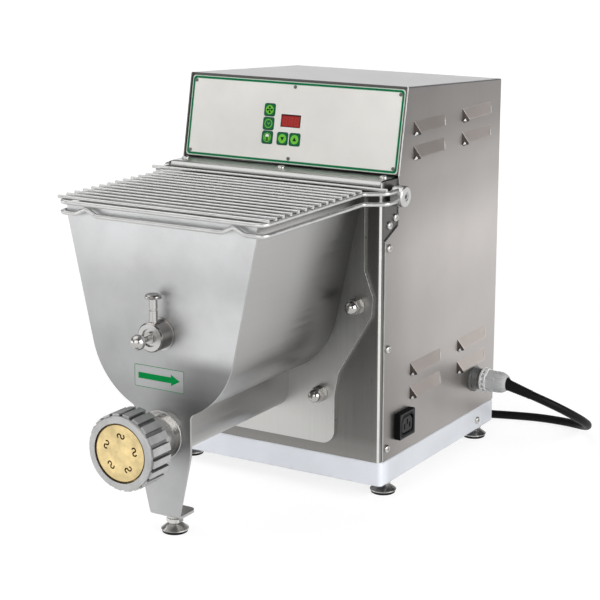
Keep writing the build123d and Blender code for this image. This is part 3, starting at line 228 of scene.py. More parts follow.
class Nodes:
    """Makes and links the nodes of one tree."""

    def __init__(self, tree):
        self.tree = tree

    def link(self, source, target):
        self.tree.links.new(source, target)

    def node(self, kind, *first, **named):
        """A new node: sockets or values for its first inputs, then inputs and settings by name."""
        made = self.tree.nodes.new(kind)
        for key, value in named.items():
            if key in made.inputs:
                made.inputs[key].default_value = value
            else:
                setattr(made, key, value)
        for target, given in zip(made.inputs, first):
            if isinstance(given, bpy.types.NodeSocket):
                self.link(given, target)
            else:
                target.default_value = given
        return made

    def number(self, operation, *first):
        return self.node("ShaderNodeMath", *first, operation=operation).outputs[0]

    def vector(self, operation, *first):
        return self.node("ShaderNodeVectorMath", *first, operation=operation).outputs[0]

    def ranged(self, value, low, high, to_low=0.0, to_high=1.0, curve="LINEAR"):
        return self.node("ShaderNodeMapRange", value, low, high, to_low, to_high,
                         interpolation_type=curve).outputs["Result"]

    def mixed(self, factor, *colours):
        """One colour that turns into another as the factor goes from 0 to 1."""
        node = self.node("ShaderNodeMix", factor, data_type="RGBA")
        for socket, colour in zip([s for s in node.inputs if s.type == "RGBA"], colours):
            socket.default_value = (*colour, 1)
        return next(s for s in node.outputs if s.type == "RGBA")


class Look(Nodes):
    """A node material on one Principled shader."""

    def __init__(self, name, colour, metallic, rough):
        self.material = bpy.data.materials.new(name)
        self.material.use_nodes = True
        super().__init__(self.material.node_tree)
        self.shader = self.tree.nodes["Principled BSDF"]
        self.colour = colour
        self.shader.inputs["Base Color"].default_value = (*colour, 1)
        self.shader.inputs["Metallic"].default_value = metallic
        self.shader.inputs["Roughness"].default_value = rough
        self.normal = None
        self.place = self.node("ShaderNodeTexCoord").outputs["Object"]

    def noise(self, scale, detail, rough, offset=0.0, stretch=(1, 1, 1)):
        there = self.node("ShaderNodeMapping", self.place, Scale=stretch,
                          Location=(offset, offset * 0.7, offset * 1.3))
        return self.node("ShaderNodeTexNoise", there.outputs["Vector"], Scale=scale,
                         Detail=detail, Roughness=rough).outputs["Fac"]

    def painted(self, colour):
        self.link(colour, self.shader.inputs["Base Color"])
        return colour

    def times(self, colour, factor):
        return self.painted(self.vector("MULTIPLY", colour, factor))

    def vary(self, factor, dark, light):
        """Base colour between two multiples of the look's own colour."""
        return self.painted(self.mixed(factor, *(
            tuple(min(1.0, c * k) for c in self.colour) for k in (dark, light))))

    def ramped(self, axis, stops):
        """A soft run of factors along one axis: (millimetres, factor) pairs."""
        def grey(factor):
            return (factor / RAMP_TOP,) * 3 + (1,)

        split = self.node("ShaderNodeSeparateXYZ", self.place)
        low, high = stops[0][0], stops[-1][0]
        along = self.ranged(split.outputs[axis], low * MM, high * MM)
        ramp = self.node("ShaderNodeValToRGB", along)
        ramp.color_ramp.interpolation = "EASE"
        marks = ramp.color_ramp.elements
        marks[0].color, marks[1].color = grey(stops[0][1]), grey(stops[-1][1])
        for where, factor in stops[1:-1]:
            marks.new((where - low) / (high - low)).color = grey(factor)
        return self.vector("MULTIPLY", ramp.outputs["Color"], (RAMP_TOP,) * 3)

    def paint_shading(self, colour, painted_shading):
        """Paint light and shade into a colour along the axis of each grade."""
        for axis, stops in painted_shading:
            colour = self.times(colour, self.ramped(axis, stops))
        return colour

    def painted_patch(self, colour, across, weights, axis, stops):
        """Paint shade and light into a colour along one axis, more or less so from place to place
        across it.
        """
        weight = self.ramped(across, weights)
        excess = self.vector("SUBTRACT", self.ramped(axis, stops), ONES)
        return self.times(colour, self.vector("MULTIPLY_ADD", excess, weight, ONES))

    def roughness(self, factor, low, high):
        self.link(self.ranged(factor, *NOISE_SPAN, low, high), self.shader.inputs["Roughness"])

    def bent(self, normal):
        """Use a normal for the shading and for the next bump."""
        self.normal = normal
        self.link(normal, self.shader.inputs["Normal"])

    def bump(self, height, strength, distance):
        node = self.node("ShaderNodeBump", Strength=strength, Distance=distance)
        self.link(height, node.inputs["Height"])
        if self.normal:
            self.link(self.normal, node.inputs["Normal"])
        self.bent(node.outputs["Normal"])

    def rounded(self, radius):
        """Soften the edges by a radius in millimetres, if there is one."""
        if radius:
            node = self.node("ShaderNodeBevel", Radius=radius * MM, samples=BEVEL_SAMPLES)
            self.bent(node.outputs["Normal"])


def stretched(axis, across, along):
    """Noise scales for the three axes: one for the given axis, one for the others."""
    scales = [across] * 3
    scales[axis] = along
    return scales


def brushed(name, colour, rough=0.34, along=2, edge=0.5, depth=1.0, streak=1.0,
            painted_shading=(), mottle=0.04, cloud=0.0, painted_reflection=None):
    """Sheet steel: fine brush lines along an axis, upright if not given, faint clouds, and any
    painted light, shade and reflection that is given.
    """
    look = Look(name, colour, 1.0, rough)
    look.rounded(edge)
    lines = look.noise(1.0, 4.0, 0.6, stretch=stretched(along, *BRUSH_LINES))
    bands = look.noise(1.0, 2.0, 0.5, 3.0, stretched(along, *BRUSH_BANDS))
    clouds = look.noise(7.0, 3.0, 0.5, 7.0)
    tone = look.vary(look.ranged(look.number("ADD", lines, clouds), 0.7, 1.3),
                     1 - mottle, 1 + mottle)
    if cloud:
        patches = look.noise(16.0, 4.0, 0.6, 11.0)
        tone = look.times(tone, look.mixed(look.ranged(patches, 0.35, 0.65),
                                           (1 - cloud,) * 3, ONES))
    tone = look.paint_shading(tone, painted_shading)
    if painted_reflection:
        look.painted_patch(tone, *painted_reflection)
    look.roughness(lines, rough - 0.04, rough + 0.05)
    look.bump(bands, 0.02 * depth * streak, 0.0004)
    look.bump(lines, 0.07 * depth, 0.0001)
    return look.material


def polished(name, colour, rough=0.12, edge=0.25, scratch=0.04, painted_shading=()):
    """Bright metal with faint smears and, if asked for, hairline scratches."""
    look = Look(name, colour, 1.0, rough)
    look.rounded(edge)
    smears = look.noise(90.0, 3.0, 0.6)
    # painted_shading paints light and shade into the colour
    look.paint_shading(look.vary(look.ranged(smears, *NOISE_SPAN), 0.93, 1.04), painted_shading)
    look.roughness(smears, rough - 0.03, rough + 0.06)
    if scratch:
        scratches = look.noise(1.0, 2.0, 0.5, stretch=(2600, 500, 1400))
        look.bump(scratches, scratch, 0.00005)
    return look.material


def turned(name, colour, rough, axis, dark=0.35, light=1.15, pitch=150.0, edge=0.3):
    """Turned or polished metal whose dark and bright bands, painted reflections, run along its
    axis.
    """
    look = Look(name, colour, 1.0, rough)
    look.rounded(edge)
    bands = look.noise(1.0, 2.0, 0.45, 1.7, stretched(axis, pitch, 5.0))
    lathe = look.noise(1.0, 2.0, 0.5, stretch=stretched(axis, 40.0, 2600.0))
    look.vary(look.ranged(bands, 0.40, 0.60), dark, light)
    look.roughness(lathe, rough - 0.02, rough + 0.05)
    look.bump(lathe, 0.05, 0.00004)
    return look.material


def cast(name, colour, rough=0.5, grain=1500.0, strength=0.25, edge=0.3):
    """Matte cast or blasted metal."""
    look = Look(name, colour, 1.0, rough)
    look.rounded(edge)
    fine = look.noise(grain, 3.0, 0.6)
    clouds = look.noise(60.0, 3.0, 0.6, 2.0)
    look.vary(look.ranged(clouds, *NOISE_SPAN), 0.86, 1.08)
    look.roughness(fine, rough - 0.06, rough + 0.1)
    look.bump(fine, strength, 0.0001)
    return look.material


def moulded(name, colour, rough=0.4, grain=900.0, strength=0.12, edge=0.3, coat=0.0,
            sheen=0.5, painted_shading=()):
    """Moulded plastic or paint: a fine skin, slight colour drift, its mirror level as sheen."""
    look = Look(name, colour, 0.0, rough)
    look.shader.inputs["Specular IOR Level"].default_value = sheen
    look.rounded(edge)
    fine = look.noise(grain, 2.0, 0.5)
    clouds = look.noise(18.0, 3.0, 0.55, 5.0)
    # painted_shading paints light and shade into the colour
    look.paint_shading(look.vary(look.ranged(clouds, *NOISE_SPAN), 0.94, 1.04), painted_shading)
    look.roughness(fine, rough - 0.05, rough + 0.06)
    look.bump(fine, strength, 0.00008)
    if coat:
        look.shader.inputs["Coat Weight"].default_value = coat
        look.shader.inputs["Coat Roughness"].default_value = 0.1
    return look.material


def printed(name, colour, sheen=0.1):
    return moulded(name, colour, 0.6, 1500.0, 0.02, 0, sheen=sheen)


def bronze_face(name):
    """Turned die bronze: pale gold, with turning rings about its axis and rubbed clouds."""
    look = Look(name, (0.76, 0.60, 0.31), 1.0, 0.38)
    clouds = look.noise(75.0, 5.0, 0.62)
    there = look.node("ShaderNodeMapping", look.place, Location=(0, 0, -AUGER_Z * MM))
    wave = look.node("ShaderNodeTexWave", there.outputs["Vector"], wave_type="RINGS",
                     rings_direction="Y", Scale=420.0, Distortion=0.6)
    look.vary(look.ranged(clouds, 0.35, 0.68), 0.80, 1.20)
    look.roughness(clouds, 0.3, 0.46)
    look.bump(wave.outputs["Fac"], 0.05, 0.00006)
    return look.material


def filter_red(name):
    """Deep red filter over the display's unlit segments, with a fine speckle."""
    look = Look(name, (0.33, 0.022, 0.02), 0.0, 0.35)
    look.shader.inputs["Specular IOR Level"].default_value = 0.2
    speckle = look.noise(900.0, 3.0, 0.6)
    look.vary(look.ranged(speckle, *NOISE_SPAN), 0.8, 1.15)
    return look.material


# Hood sides: painted light and shade, darker towards the front, the bottom and most of all the top,
# lighter towards the rear.
STEEL_SIDE = brushed("steel_hood", (0.45, 0.425, 0.408), 0.36, cloud=0.05, painted_shading=(
    (1, ((-2, 0.72), (70, 0.98), (150, 1.10), (240, 1.16))),
    (2, ((20, 0.82), (150, 0.95), (225, 1.08), (290, 0.78), (345, 0.50), (382, 0.46)))))
# Louvre faces: a lighter copy of the hood's steel, with painted shade towards the front and painted
# light towards the bottom.
STEEL_LOUVRE = brushed("steel_louvre", (0.49, 0.445, 0.415), 0.5, edge=2.6, painted_shading=(
    (1, ((20, 0.70), (85, 0.74), (150, 1.0), (240, 1.16))),
    (2, ((20, 1.2), (110, 1.15), (240, 1.0), (340, 0.92)))))
GLINT = moulded("louvre_glint", (0.62, 0.59, 0.57), 0.5, 900.0, 0.03, 0, sheen=0.4)
# Painted shade: a near-black copy of the hood's steel on the louvres' front ends.
LOUVRE_END_SHADE = brushed("steel_louvre_end_shade", (0.045, 0.038, 0.034), 0.5, depth=0.4)
# The hood's top: its steel brushed along Y, painted lighter than the sides as lit from above.
STEEL_TOP_LIT = brushed("steel_hood_top_lit", (0.57, 0.567, 0.565), 0.44, along=1)
# Front panel and hinge brackets: the steel painted dark as shade, lighter towards the bottom as
# painted light and darker towards the top.
STEEL_PANEL_SHADED = brushed("steel_panel_shaded", (0.17, 0.165, 0.157), 0.30, depth=0.6, streak=0.3,
                      painted_shading=((2, ((36, 1.45), (47, 1.3), (60, 1.0), (120, 1.0), (290, 0.62))),))
# The panel's upward faces: a lighter, lit copy of its steel, brushed across.
STEEL_LEDGE_LIT = brushed("steel_ledge_lit", (0.45, 0.45, 0.44), 0.30, along=0, depth=0.4, streak=0.3)
# Front plate: painted shade and light, darker at mid-height and lighter at the top, and a painted
# reflection right of the middle, dark low down and bright higher up.
STEEL_PLATE = brushed("steel_plate", (0.50, 0.503, 0.506), 0.42, along=0, depth=0.4,
                      streak=0.3, mottle=0.02, cloud=0.14, painted_shading=(
                          (2, ((20, 1.05), (80, 0.92), (122, 0.72), (160, 0.82), (215, 0.98),
                               (288, 1.28))),),
                      painted_reflection=(0, ((-10, 0.0), (45, 1.0)),
                             2, ((88, 0.90), (112, 0.60), (156, 0.62), (174, 1.42), (206, 1.25),
                                 (240, 1.0))))
# Hopper sides: painted shade, darker towards the rear plate and towards the bottom.
STEEL_HOPPER = brushed("steel_hopper", (0.40, 0.395, 0.388), 0.32, along=1, depth=0.8,
                       painted_shading=(
                           (1, ((-180, 1.05), (-110, 1.0), (-50, 0.62), (-4, 0.28))),
                           (2, ((100, 0.72), (150, 0.85), (200, 1.0), (288, 1.0)))))
STEEL_CHANNEL = brushed("steel_channel", (0.33, 0.325, 0.318), 0.32, along=1, depth=0.8)
# Rear plate: painted shade, darker towards the top.
STEEL_REAR = brushed("steel_rear_plate", (0.52, 0.515, 0.50), 0.34, depth=0.6,
                     streak=0.3, painted_shading=((2, ((60, 1.05), (130, 0.9), (200, 0.5), (290, 0.4))),))
STEEL_INNER = brushed("steel_inner", (0.38, 0.38, 0.38), 0.36, along=0)
# Painted shade: a darker copy of the hopper's steel on the inward faces of its walls.
STEEL_TROUGH_SHADED = brushed("steel_trough_shaded", (0.26, 0.257, 0.252), 0.40, along=1, depth=0.6)
# Painted shade: a dark copy of the steel for the fascia plate and the hood's shaded front edges.
STEEL_SHADE = brushed("steel_shade", (0.13, 0.125, 0.12), 0.40, depth=0.5)
STEEL_TURNED = turned("steel_turned", (0.36, 0.35, 0.338), 0.24, 1, 0.5, 1.15, 110.0)
# Lid hinge bosses, and a painted highlight on the paddle boss's front face.
STEEL_FACE_AND_HIGHLIGHT = polished("steel_face_and_highlight", (0.54, 0.535, 0.525), 0.3, scratch=0.03)
# Barrel nose: painted shade and light in bands by height, darkest below the axis and brightest at
# the top.
STEEL_NOSE = polished("steel_nose", (0.50, 0.49, 0.475), 0.22, scratch=0, painted_shading=(
    (2, ((57, 0.75), (68, 0.35), (84, 0.5), (98, 0.9), (112, 1.35))),))
# Paddle boss: painted reflections in bands by height, dark low down and brightest at the top.
STEEL_BOSS = polished("steel_boss", (0.34, 0.325, 0.31), 0.2, scratch=0, painted_shading=(
    (2, ((170, 0.85), (176, 0.4), (183, 0.3), (188, 0.95), (191, 0.45), (200, 1.25))),))
TURNED_UP = turned("steel_turned_up", (0.46, 0.45, 0.435), 0.2, 2, 0.4, 1.1, 260.0)
KNOB = polished("steel_knob", (0.46, 0.45, 0.435), 0.25, edge=0.3, scratch=0)
FOOT = turned("foot_steel", (0.56, 0.55, 0.53), 0.22, 2, 0.45, 1.15, 140.0, edge=0.2)
# Painted highlight: a bright copy of the steel on edges and corners that catch the light.
PAINTED_HIGHLIGHT = polished("steel_painted_highlight", (0.74, 0.74, 0.72), 0.3, edge=0.4, scratch=0)
# Hinge pin steel, also a dimmer painted highlight on the louvres and on the front plate's edges.
PIN_STEEL_AND_SOFT_HIGHLIGHT = polished("steel_pins_and_soft_highlight", (0.46, 0.46, 0.45), 0.36, edge=0.4, scratch=0)
BRIGHT = polished("steel_bright", (0.42, 0.41, 0.395), 0.09, edge=0.3, scratch=0)
WIRE = polished("steel_wire", (0.59, 0.59, 0.58), 0.38, edge=0, scratch=0)
SCREW = polished("steel_screw", (0.52, 0.515, 0.50), 0.2, scratch=0)
RIVET = polished("steel_rivet", (0.16, 0.16, 0.155), 0.3)
GEAR = cast("steel_gear", (0.46, 0.46, 0.47), 0.36, 700.0, 0.12)
CAST = cast("aluminium_cast", (0.48, 0.48, 0.475), 0.42, 1300.0, 0.2, 0.25)
# Painted shade: a darker copy of the ring nut's aluminium in its grooves.
CAST_GROOVE_SHADE = cast("aluminium_groove_shade", (0.20, 0.20, 0.198), 0.5, 1300.0, 0.2, 0.1)
PLAIN_ALU = cast("aluminium_plain", (0.62, 0.62, 0.62), 0.34, 500.0, 0.1)
BRONZE = bronze_face("bronze_die")
# Painted shade round the die's edge.
DIE_RIM_SHADE = cast("bronze_rim_shade", (0.09, 0.05, 0.022), 0.5, 1300.0, 0.1, 0)
# White tray, painted lighter on its front face as though lit.
TRAY = moulded("tray_white", (0.60, 0.62, 0.66), 0.34, 300.0, 0.02, 0.8, coat=0.2,
               painted_shading=((1, ((-3, 1.42), (3, 1.3), (16, 1.0))),))
LABEL = moulded("label_film", (0.77, 0.755, 0.72), 0.60, 1600.0, 0.04, 0.15, sheen=0.12)
DISPLAY = filter_red("display_red")
DISPLAY_DARK = moulded("display_dark", (0.07, 0.006, 0.006), 0.4, 900.0, 0.05, 0, sheen=0.15)
DISPLAY_DIM = moulded("display_dim", (0.50, 0.045, 0.035), 0.4, 900.0, 0.05, 0, sheen=0.15)
KEY = moulded("key_green", (0.008, 0.115, 0.045), 0.50, 1500.0, 0.05, 0.25, sheen=0.15)
FILM = brushed("film_over_steel", (0.40, 0.403, 0.406), 0.40, along=0, depth=0.3)
PRINT_GREEN = printed("print_green", (0.004, 0.15, 0.055))
PRINT_MINT = printed("print_mint", (0.50, 0.66, 0.54))
PRINT_DEEP = printed("print_deep", (0.004, 0.06, 0.024))
PRINT_LIME = printed("print_lime", (0.16, 0.55, 0.05))
PRINT_BLACK = printed("print_black", (0.008, 0.02, 0.01))
PRINT_WHITE = printed("print_white", (0.80, 0.82, 0.78))
ARROW_GREEN = printed("arrow_green", (0.001, 0.24, 0.055), 0.05)
BLACK = moulded("plastic_black", (0.005, 0.005, 0.0055), 0.5, 1100.0, 0.1, sheen=0.05)
# used for the outlet's core, and as painted light on the outlet's outward face
BLACK_SOFT = moulded("plastic_grey_black", (0.032, 0.032, 0.033), 0.5, 1100.0, 0.1,
                     sheen=0.1)
GREY = moulded("gland_grey", (0.45, 0.46, 0.458), 0.42, 700.0, 0.06, 0.4, sheen=0.35)
GREY_LIGHT = moulded("gland_ring", (0.66, 0.665, 0.66), 0.42, 700.0, 0.06, 0.3, sheen=0.35)
GREY_DARK = moulded("gland_thread", (0.13, 0.13, 0.128), 0.4, 700.0, 0.08, 0)
RUBBER = moulded("rubber_black", (0.005, 0.005, 0.005), 0.62, 1800.0, 0.3, 0, sheen=0.12)
CABLE = moulded("cable_black", (0.004, 0.004, 0.0045), 0.5, 900.0, 0.1, 0, sheen=0.12)
MOTOR = moulded("motor_paint", (0.055, 0.065, 0.075), 0.45, 700.0, 0.2, 0.5)
WHITE = moulded("plastic_white", (0.72, 0.72, 0.69), 0.4, 700.0, 0.06)
BOARD = moulded("board_green", (0.02, 0.12, 0.05), 0.35, 300.0, 0.05, 0.2, coat=0.5)


NODE_LOOKS = {
    STEEL_SIDE: ["hood", "rear_cover"],
    TURNED_UP: ["paddle_lock_pin"],
    STEEL_PANEL_SHADED: ["front_panel", "hinge_brackets"],
    STEEL_SHADE: ["fascia_plate"],
    STEEL_PLATE: ["hopper_front_plate"],
    STEEL_HOPPER: ["hopper_sides"],
    STEEL_CHANNEL: ["auger_channel"],
    STEEL_REAR: ["hopper_rear_plate"],
    STEEL_TURNED: ["paddle"],
    STEEL_BOSS: ["paddle_boss"],
    STEEL_FACE_AND_HIGHLIGHT: ["lid_hinge_bosses"],
    STEEL_NOSE: ["barrel_nose"],
    KNOB: ["paddle_pull_pin"],
    PIN_STEEL_AND_SOFT_HIGHLIGHT: ["hinge_pins"],
    BRIGHT: ["hopper_cap_nuts", "hopper_washers", "hopper_studs"],
    WIRE: ["lid_upper_frame", "lid_lower_frame", "lid_rods"],
    SCREW: ["case_screws"],
    RIVET: ["fascia_rivets"],
    GEAR: ["paddle_gear", "paddle_shaft", "auger_gear", "auger_shaft", "motor_pinion",
           "drive_plate", "drive_bearings"],
    CAST: ["ring_nut", "gearbox_housing"],
    PLAIN_ALU: ["auger", "bearing_plate"],
    BRONZE: ["extrusion_die"],
    TRAY: ["base_tray"],
    LABEL: ["fascia_label"],
    KEY: ["button_mix", "button_timer", "button_extrude", "button_down", "button_up"],
    DISPLAY: ["display_window"],
    BOARD: ["control_board"],
    BLACK: ["power_outlet", "lid_switch", "plug"],
    WHITE: ["run_capacitor"],
    GREY: ["gland_body", "gland_dome_nut"],
    RUBBER: ["shaft_seals"],
    MOTOR: ["motor_housing"],
    CABLE: ["cord", "cord_coil"],
}


def dress_nodes():
    """Each CAD node's own material, and plain steel for those that aren't named."""
    looks = dict.fromkeys(NODES, STEEL_INNER)
    for look, names in NODE_LOOKS.items():
        looks.update(dict.fromkeys(names, look))
    for name, look in looks.items():
        materials = NODES[name].data.materials
        materials.clear()
        materials.append(look)


def other_faces(name, material, test):
    """Give another material to the faces of a CAD node whose centre and normal pass a test."""
    mesh = NODES[name].data
    mesh.materials.append(material)
    for face in mesh.polygons:
        if test(face.center / MM, face.normal):
            face.material_index = len(mesh.materials) - 1


BRIGHT_EDGE_X = 116      # the hood's front edges right of this get a painted highlight, the others painted shade
TROUGH_Z = 200           # height from which the hopper's walls are judged to face inwards
GROOVE_R = (27.5, 33.2)  # radii between which the ring nut's grooves lie
GROOVE_FRONT_Y = -240    # where they end at the front


def is_groove(c, n):
    low, high = GROOVE_R
    return low < hypot(c.x, c.z - AUGER_Z) < high and abs(n.y) < 0.5 and c.y > GROOVE_FRONT_Y


def is_louvre(c, n):
    return abs(c.x) > SIDE + 0.2 and abs(n.x) > 0.7 and n.z > 0.2


dress_nodes()
# the outlet's outward face: a lighter copy of the black plastic, painted light
other_faces("power_outlet", BLACK_SOFT, lambda c, n: n.x > 0.9 and c.x > SIDE + 5.0)
# the front panel's upward faces get the lit copy of its steel
other_faces("front_panel", STEEL_LEDGE_LIT, lambda c, n: n.z > 0.3)
# the front panel's rounded corner faces get a painted highlight
other_faces("front_panel", PAINTED_HIGHLIGHT, lambda c, n: 0.3 < n.x < 0.75 and n.y < -0.5)
# the hood's top faces get the lighter, lit copy of its steel
other_faces("hood", STEEL_TOP_LIT, lambda c, n: n.z > 0.6)
# the hood's front edges left of BRIGHT_EDGE_X get painted shade
other_faces("hood", STEEL_SHADE, lambda c, n: n.y < -0.9 and c.x < BRIGHT_EDGE_X)
# the hood's front edges right of BRIGHT_EDGE_X get a painted highlight
other_faces("hood", PAINTED_HIGHLIGHT, lambda c, n: n.y < -0.9 and c.x > BRIGHT_EDGE_X)
# the louvre faces get their lighter copy of the steel, with painted shade
other_faces("hood", STEEL_LOUVRE, is_louvre)
# the louvres' front ends get the painted shade
other_faces("hood", LOUVRE_END_SHADE, lambda c, n: abs(c.x) > SIDE + 0.05 and n.y < -0.3)
# the ring nut's grooves get the painted shade
other_faces("ring_nut", CAST_GROOVE_SHADE, is_groove)
# the hopper walls' inward faces get the painted shade
other_faces("hopper_sides", STEEL_TROUGH_SHADED,
            lambda c, n: c.x * n.x + (c.z - TROUGH_Z) * n.z < -15)
# the paddle boss's front face gets a painted highlight
other_faces("paddle_boss", STEEL_FACE_AND_HIGHLIGHT, lambda c, n: n.y < -0.9)
# the rear plate's edge faces get a painted highlight
other_faces("hopper_rear_plate", PAINTED_HIGHLIGHT, lambda c, n: abs(n.y) < 0.5)
# the front plate's edge faces get the dimmer painted highlight
other_faces("hopper_front_plate", PIN_STEEL_AND_SOFT_HIGHLIGHT, lambda c, n: abs(n.y) < 0.5)


# ---------------------------------------------------------------- control fascia
LABEL_W = 231.4          # the label, on the fascia's plane
LABEL_LOW, LABEL_HIGH = 1.2, 77.98
LABEL_TOP = -0.3         # heights over that plane
KEY_TOP = 0.1
KEYS = {"mix": (-25.4, 50.2), "timer": (-25.4, 37.2), "extrude": (-25.4, 24.2),
        "down": (-8.6, 24.2), "up": (4.8, 24.2)}
WINDOW = (-1.4, 41.2)    # the display window's middle
DIGIT = (3.4, 6.4)       # width and height between the middles of its bars
DIGIT_AT = (-7.6, 40.7)  # the first digit's middle
DIGIT_STEP = 6.2
BAR_W = 0.55
ON_GLASS = (-0.42, -0.34)
ON_KEY = (-0.02, 0.05)   # a print on a key, and one over it
OVER_KEY = (0.03, 0.10)


def on_label(rise):
    """Heights of a print that sinks a little into the label."""
    return LABEL_TOP - 0.05, LABEL_TOP + rise


def make_fascia():
    centre = (0, (LABEL_LOW + LABEL_HIGH) / 2)

    def line(shape, inset, width, rise):
        """A line round the label, that far in from its edge."""
        size = (LABEL_W - 2 * inset, LABEL_HIGH - LABEL_LOW - 2 * inset)
        return shape.frame(FASCIA, centre, size, width, (3.2, 2.4), on_label(rise))

    piece("fascia_border", line(Shape(), 0.75, 2.0, 0.06), PRINT_GREEN, "machine")
    piece("fascia_border_lines", line(line(Shape(), 0.1, 0.6, 0.05), 2.85, 0.3, 0.05),
          PRINT_MINT, "machine")
    halo = Shape()
    for spot in KEYS.values():
        halo.frame(FASCIA, spot, (13.3, 13.3), 0.4, (2.4, 2.2), on_label(0.04))
    halo.frame(FASCIA, WINDOW, (23.0, 13.5), 0.7, (0.8, 0.3), on_label(0.02))
    piece("key_halos", halo, PRINT_WHITE, "machine")


def key_art(key, colour_name, material, draw):
    """Printed art on a key's face, moving with the key. draw(shape, face) adds its forms."""
    shape = Shape()
    draw(shape, FASCIA @ Matrix.Translation((*KEYS[key], KEY_TOP)))
    piece(f"art_{key}_{colour_name}", shape, material, f"key_{key}")


def make_keys():
    r = 4.3

    def disc(shape, face):
        shape.film(face, circle(0, 0, r), ON_KEY)

    def blades(shape, face):
        blade = [(0.0, 0.7), (1.0, 1.2), (1.35, 2.3), (0.75, 3.3), (-0.35, 3.4), (-0.9, 2.4),
                 (-0.45, 1.5)]
        for outline in [moved(blade, 90 * i + 10) for i in range(4)] + [circle(0, 0, 0.65, 16)]:
            shape.film(face, outline, (0.03, 0.09))

    def clock(shape, face):
        shape.band(face, circle(0, 0, r), circle(0, 0, r - 0.75), ON_KEY)
        shape.film(face, [(-1.45, 1.25), (-0.85, 1.6), (0.15, -0.15), (1.3, 1.15), (1.85, 0.7),
                          (0.15, -1.35)], ON_KEY)
        tick = [(-0.14, 2.75), (0.14, 2.75), (0.14, 3.25), (-0.14, 3.25)]
        for i in range(12):
            shape.film(face, moved(tick, 30 * i), ON_KEY)

    def nozzle_back(shape, face):
        shape.band(face, circle(0, 0, r), circle(0, 0, r - 0.6), ON_KEY)
        shape.film(face, circle(0, -0.2, 3.0, 32), ON_KEY)

    def dough(shape, face):
        shape.film(face, circle(0, 1.3, 1.9, 28, -20, 220), OVER_KEY)

    def strands(shape, face):
        for dx in (-1.0, 0.0, 1.0):
            shape.film(face, [(dx - 0.32, 0.4), (dx + 0.32, 0.4), (dx * 0.7 + 0.3, -3.1),
                              (dx * 0.7 - 0.3, -3.1)], OVER_KEY)

    def down(shape, face):
        shape.film(face, [(-2.1, 1.5), (2.1, 1.5), (0, -2.2)], OVER_KEY)

    def up(shape, face):
        shape.film(face, [(-2.1, -1.5), (2.1, -1.5), (0, 2.2)], OVER_KEY)

    def rim(shape, face):
        shape.frame(face, (0, 0), (11.5, 11.5), 0.3, (1.5, 1.3), (-0.02, 0.03))

    for key in KEYS:
        key_art(key, "rim", PRINT_DEEP, rim)
    for key in ("mix", "down", "up"):
        key_art(key, "lime", PRINT_LIME, disc)
    key_art("timer", "lime", PRINT_LIME, clock)
    key_art("extrude", "lime", PRINT_LIME, nozzle_back)
    key_art("mix", "dark", PRINT_BLACK, blades)
    key_art("down", "dark", PRINT_BLACK, down)
    key_art("up", "dark", PRINT_BLACK, up)
    key_art("extrude", "white", PRINT_WHITE, dough)
    key_art("extrude", "dark", PRINT_BLACK, strands)


def make_display():
    """Bezel shadow and unlit segments of a three-figure display."""
    x, y = WINDOW
    bezel = Shape().band(FASCIA, rounded_rect(x, y, 21.5, 12.0, 0.4),
                         rounded_rect(x, y - 0.45, 19.6, 9.9, 0.3), (-0.45, -0.25))
    piece("display_bezel", bezel, DISPLAY_DARK, "machine")
    marks = Shape()
    w, h = DIGIT
    for k in range(3):
        x0, y0 = DIGIT_AT[0] + DIGIT_STEP * k, DIGIT_AT[1]

        def bar(cx, cy, length, angle):
            a, b = length / 2, BAR_W / 2
            six = [(-a, 0), (-a + b, b), (a - b, b), (a, 0), (a - b, -b), (-a + b, -b)]
            marks.film(FASCIA, moved(six, angle, x0 + cx + 0.14 * cy, y0 + cy), ON_GLASS)

        for cy in (-h / 2, 0, h / 2):
            bar(0, cy, w - 0.5, 0)
        for cx in (-w / 2, w / 2):
            for cy in (-h / 4, h / 4):
                bar(cx, cy, h / 2 - 0.35, 82)
        marks.film(FASCIA, circle(x0 + w / 2 + 0.75, y0 - h / 2, 0.35, 12), ON_GLASS)
    piece("display_segments", marks, DISPLAY_DIM, "machine")


LOUVRE_Y = (55.0, 155.0)                # front end of each louvre
LOUVRE_Z = (335.0, 312.5, 107.0, 84.0)  # its lower edge
LOUVRE_OUT = 4.5


def make_louvre_spots():
    """Painted highlights low in the front end of each louvre, and along its rear fold."""
    spot = [(1.3, 0.3), (4.6, 0.3), (4.3, 1.6), (3.4, 2.9), (2.7, 2.6), (1.8, 1.4)]
    bow = [(-0.9, 1.2), (0.1, 1.2), (3.8, 8.0), (3.0, 8.0), (0.5, 4.5)]
    spots, glints = Shape(), Shape()
    for side, y0, z0 in [(s, y, z) for s in (1, -1) for y in LOUVRE_Y for z in LOUVRE_Z]:
        end = place((side * (SIDE + 0.35), y0 + 0.15, z0), (side * 0.8, -0.6, 0),
                    (side * 0.6, 0.8, 0))
        spots.film(end, spot, (0.02, 0.12))
        fold = place((side * (SIDE + LOUVRE_OUT), y0 + 57.0, z0 + 1.6),
                     (side * 0.94, 0, 0.341), (0, 1, 0))
        glints.film(fold, [(x, side * y) for x, y in bow], (0.02, 0.1))
    piece("louvre_spots", spots, PIN_STEEL_AND_SOFT_HIGHLIGHT, "machine")
    piece("louvre_glints", glints, GLINT, "machine")


ARROW_LABEL = (-3.0, 144.5)  # its middle on the front plate
ARROW_LABEL_SIZE = (52.0, 20.0)


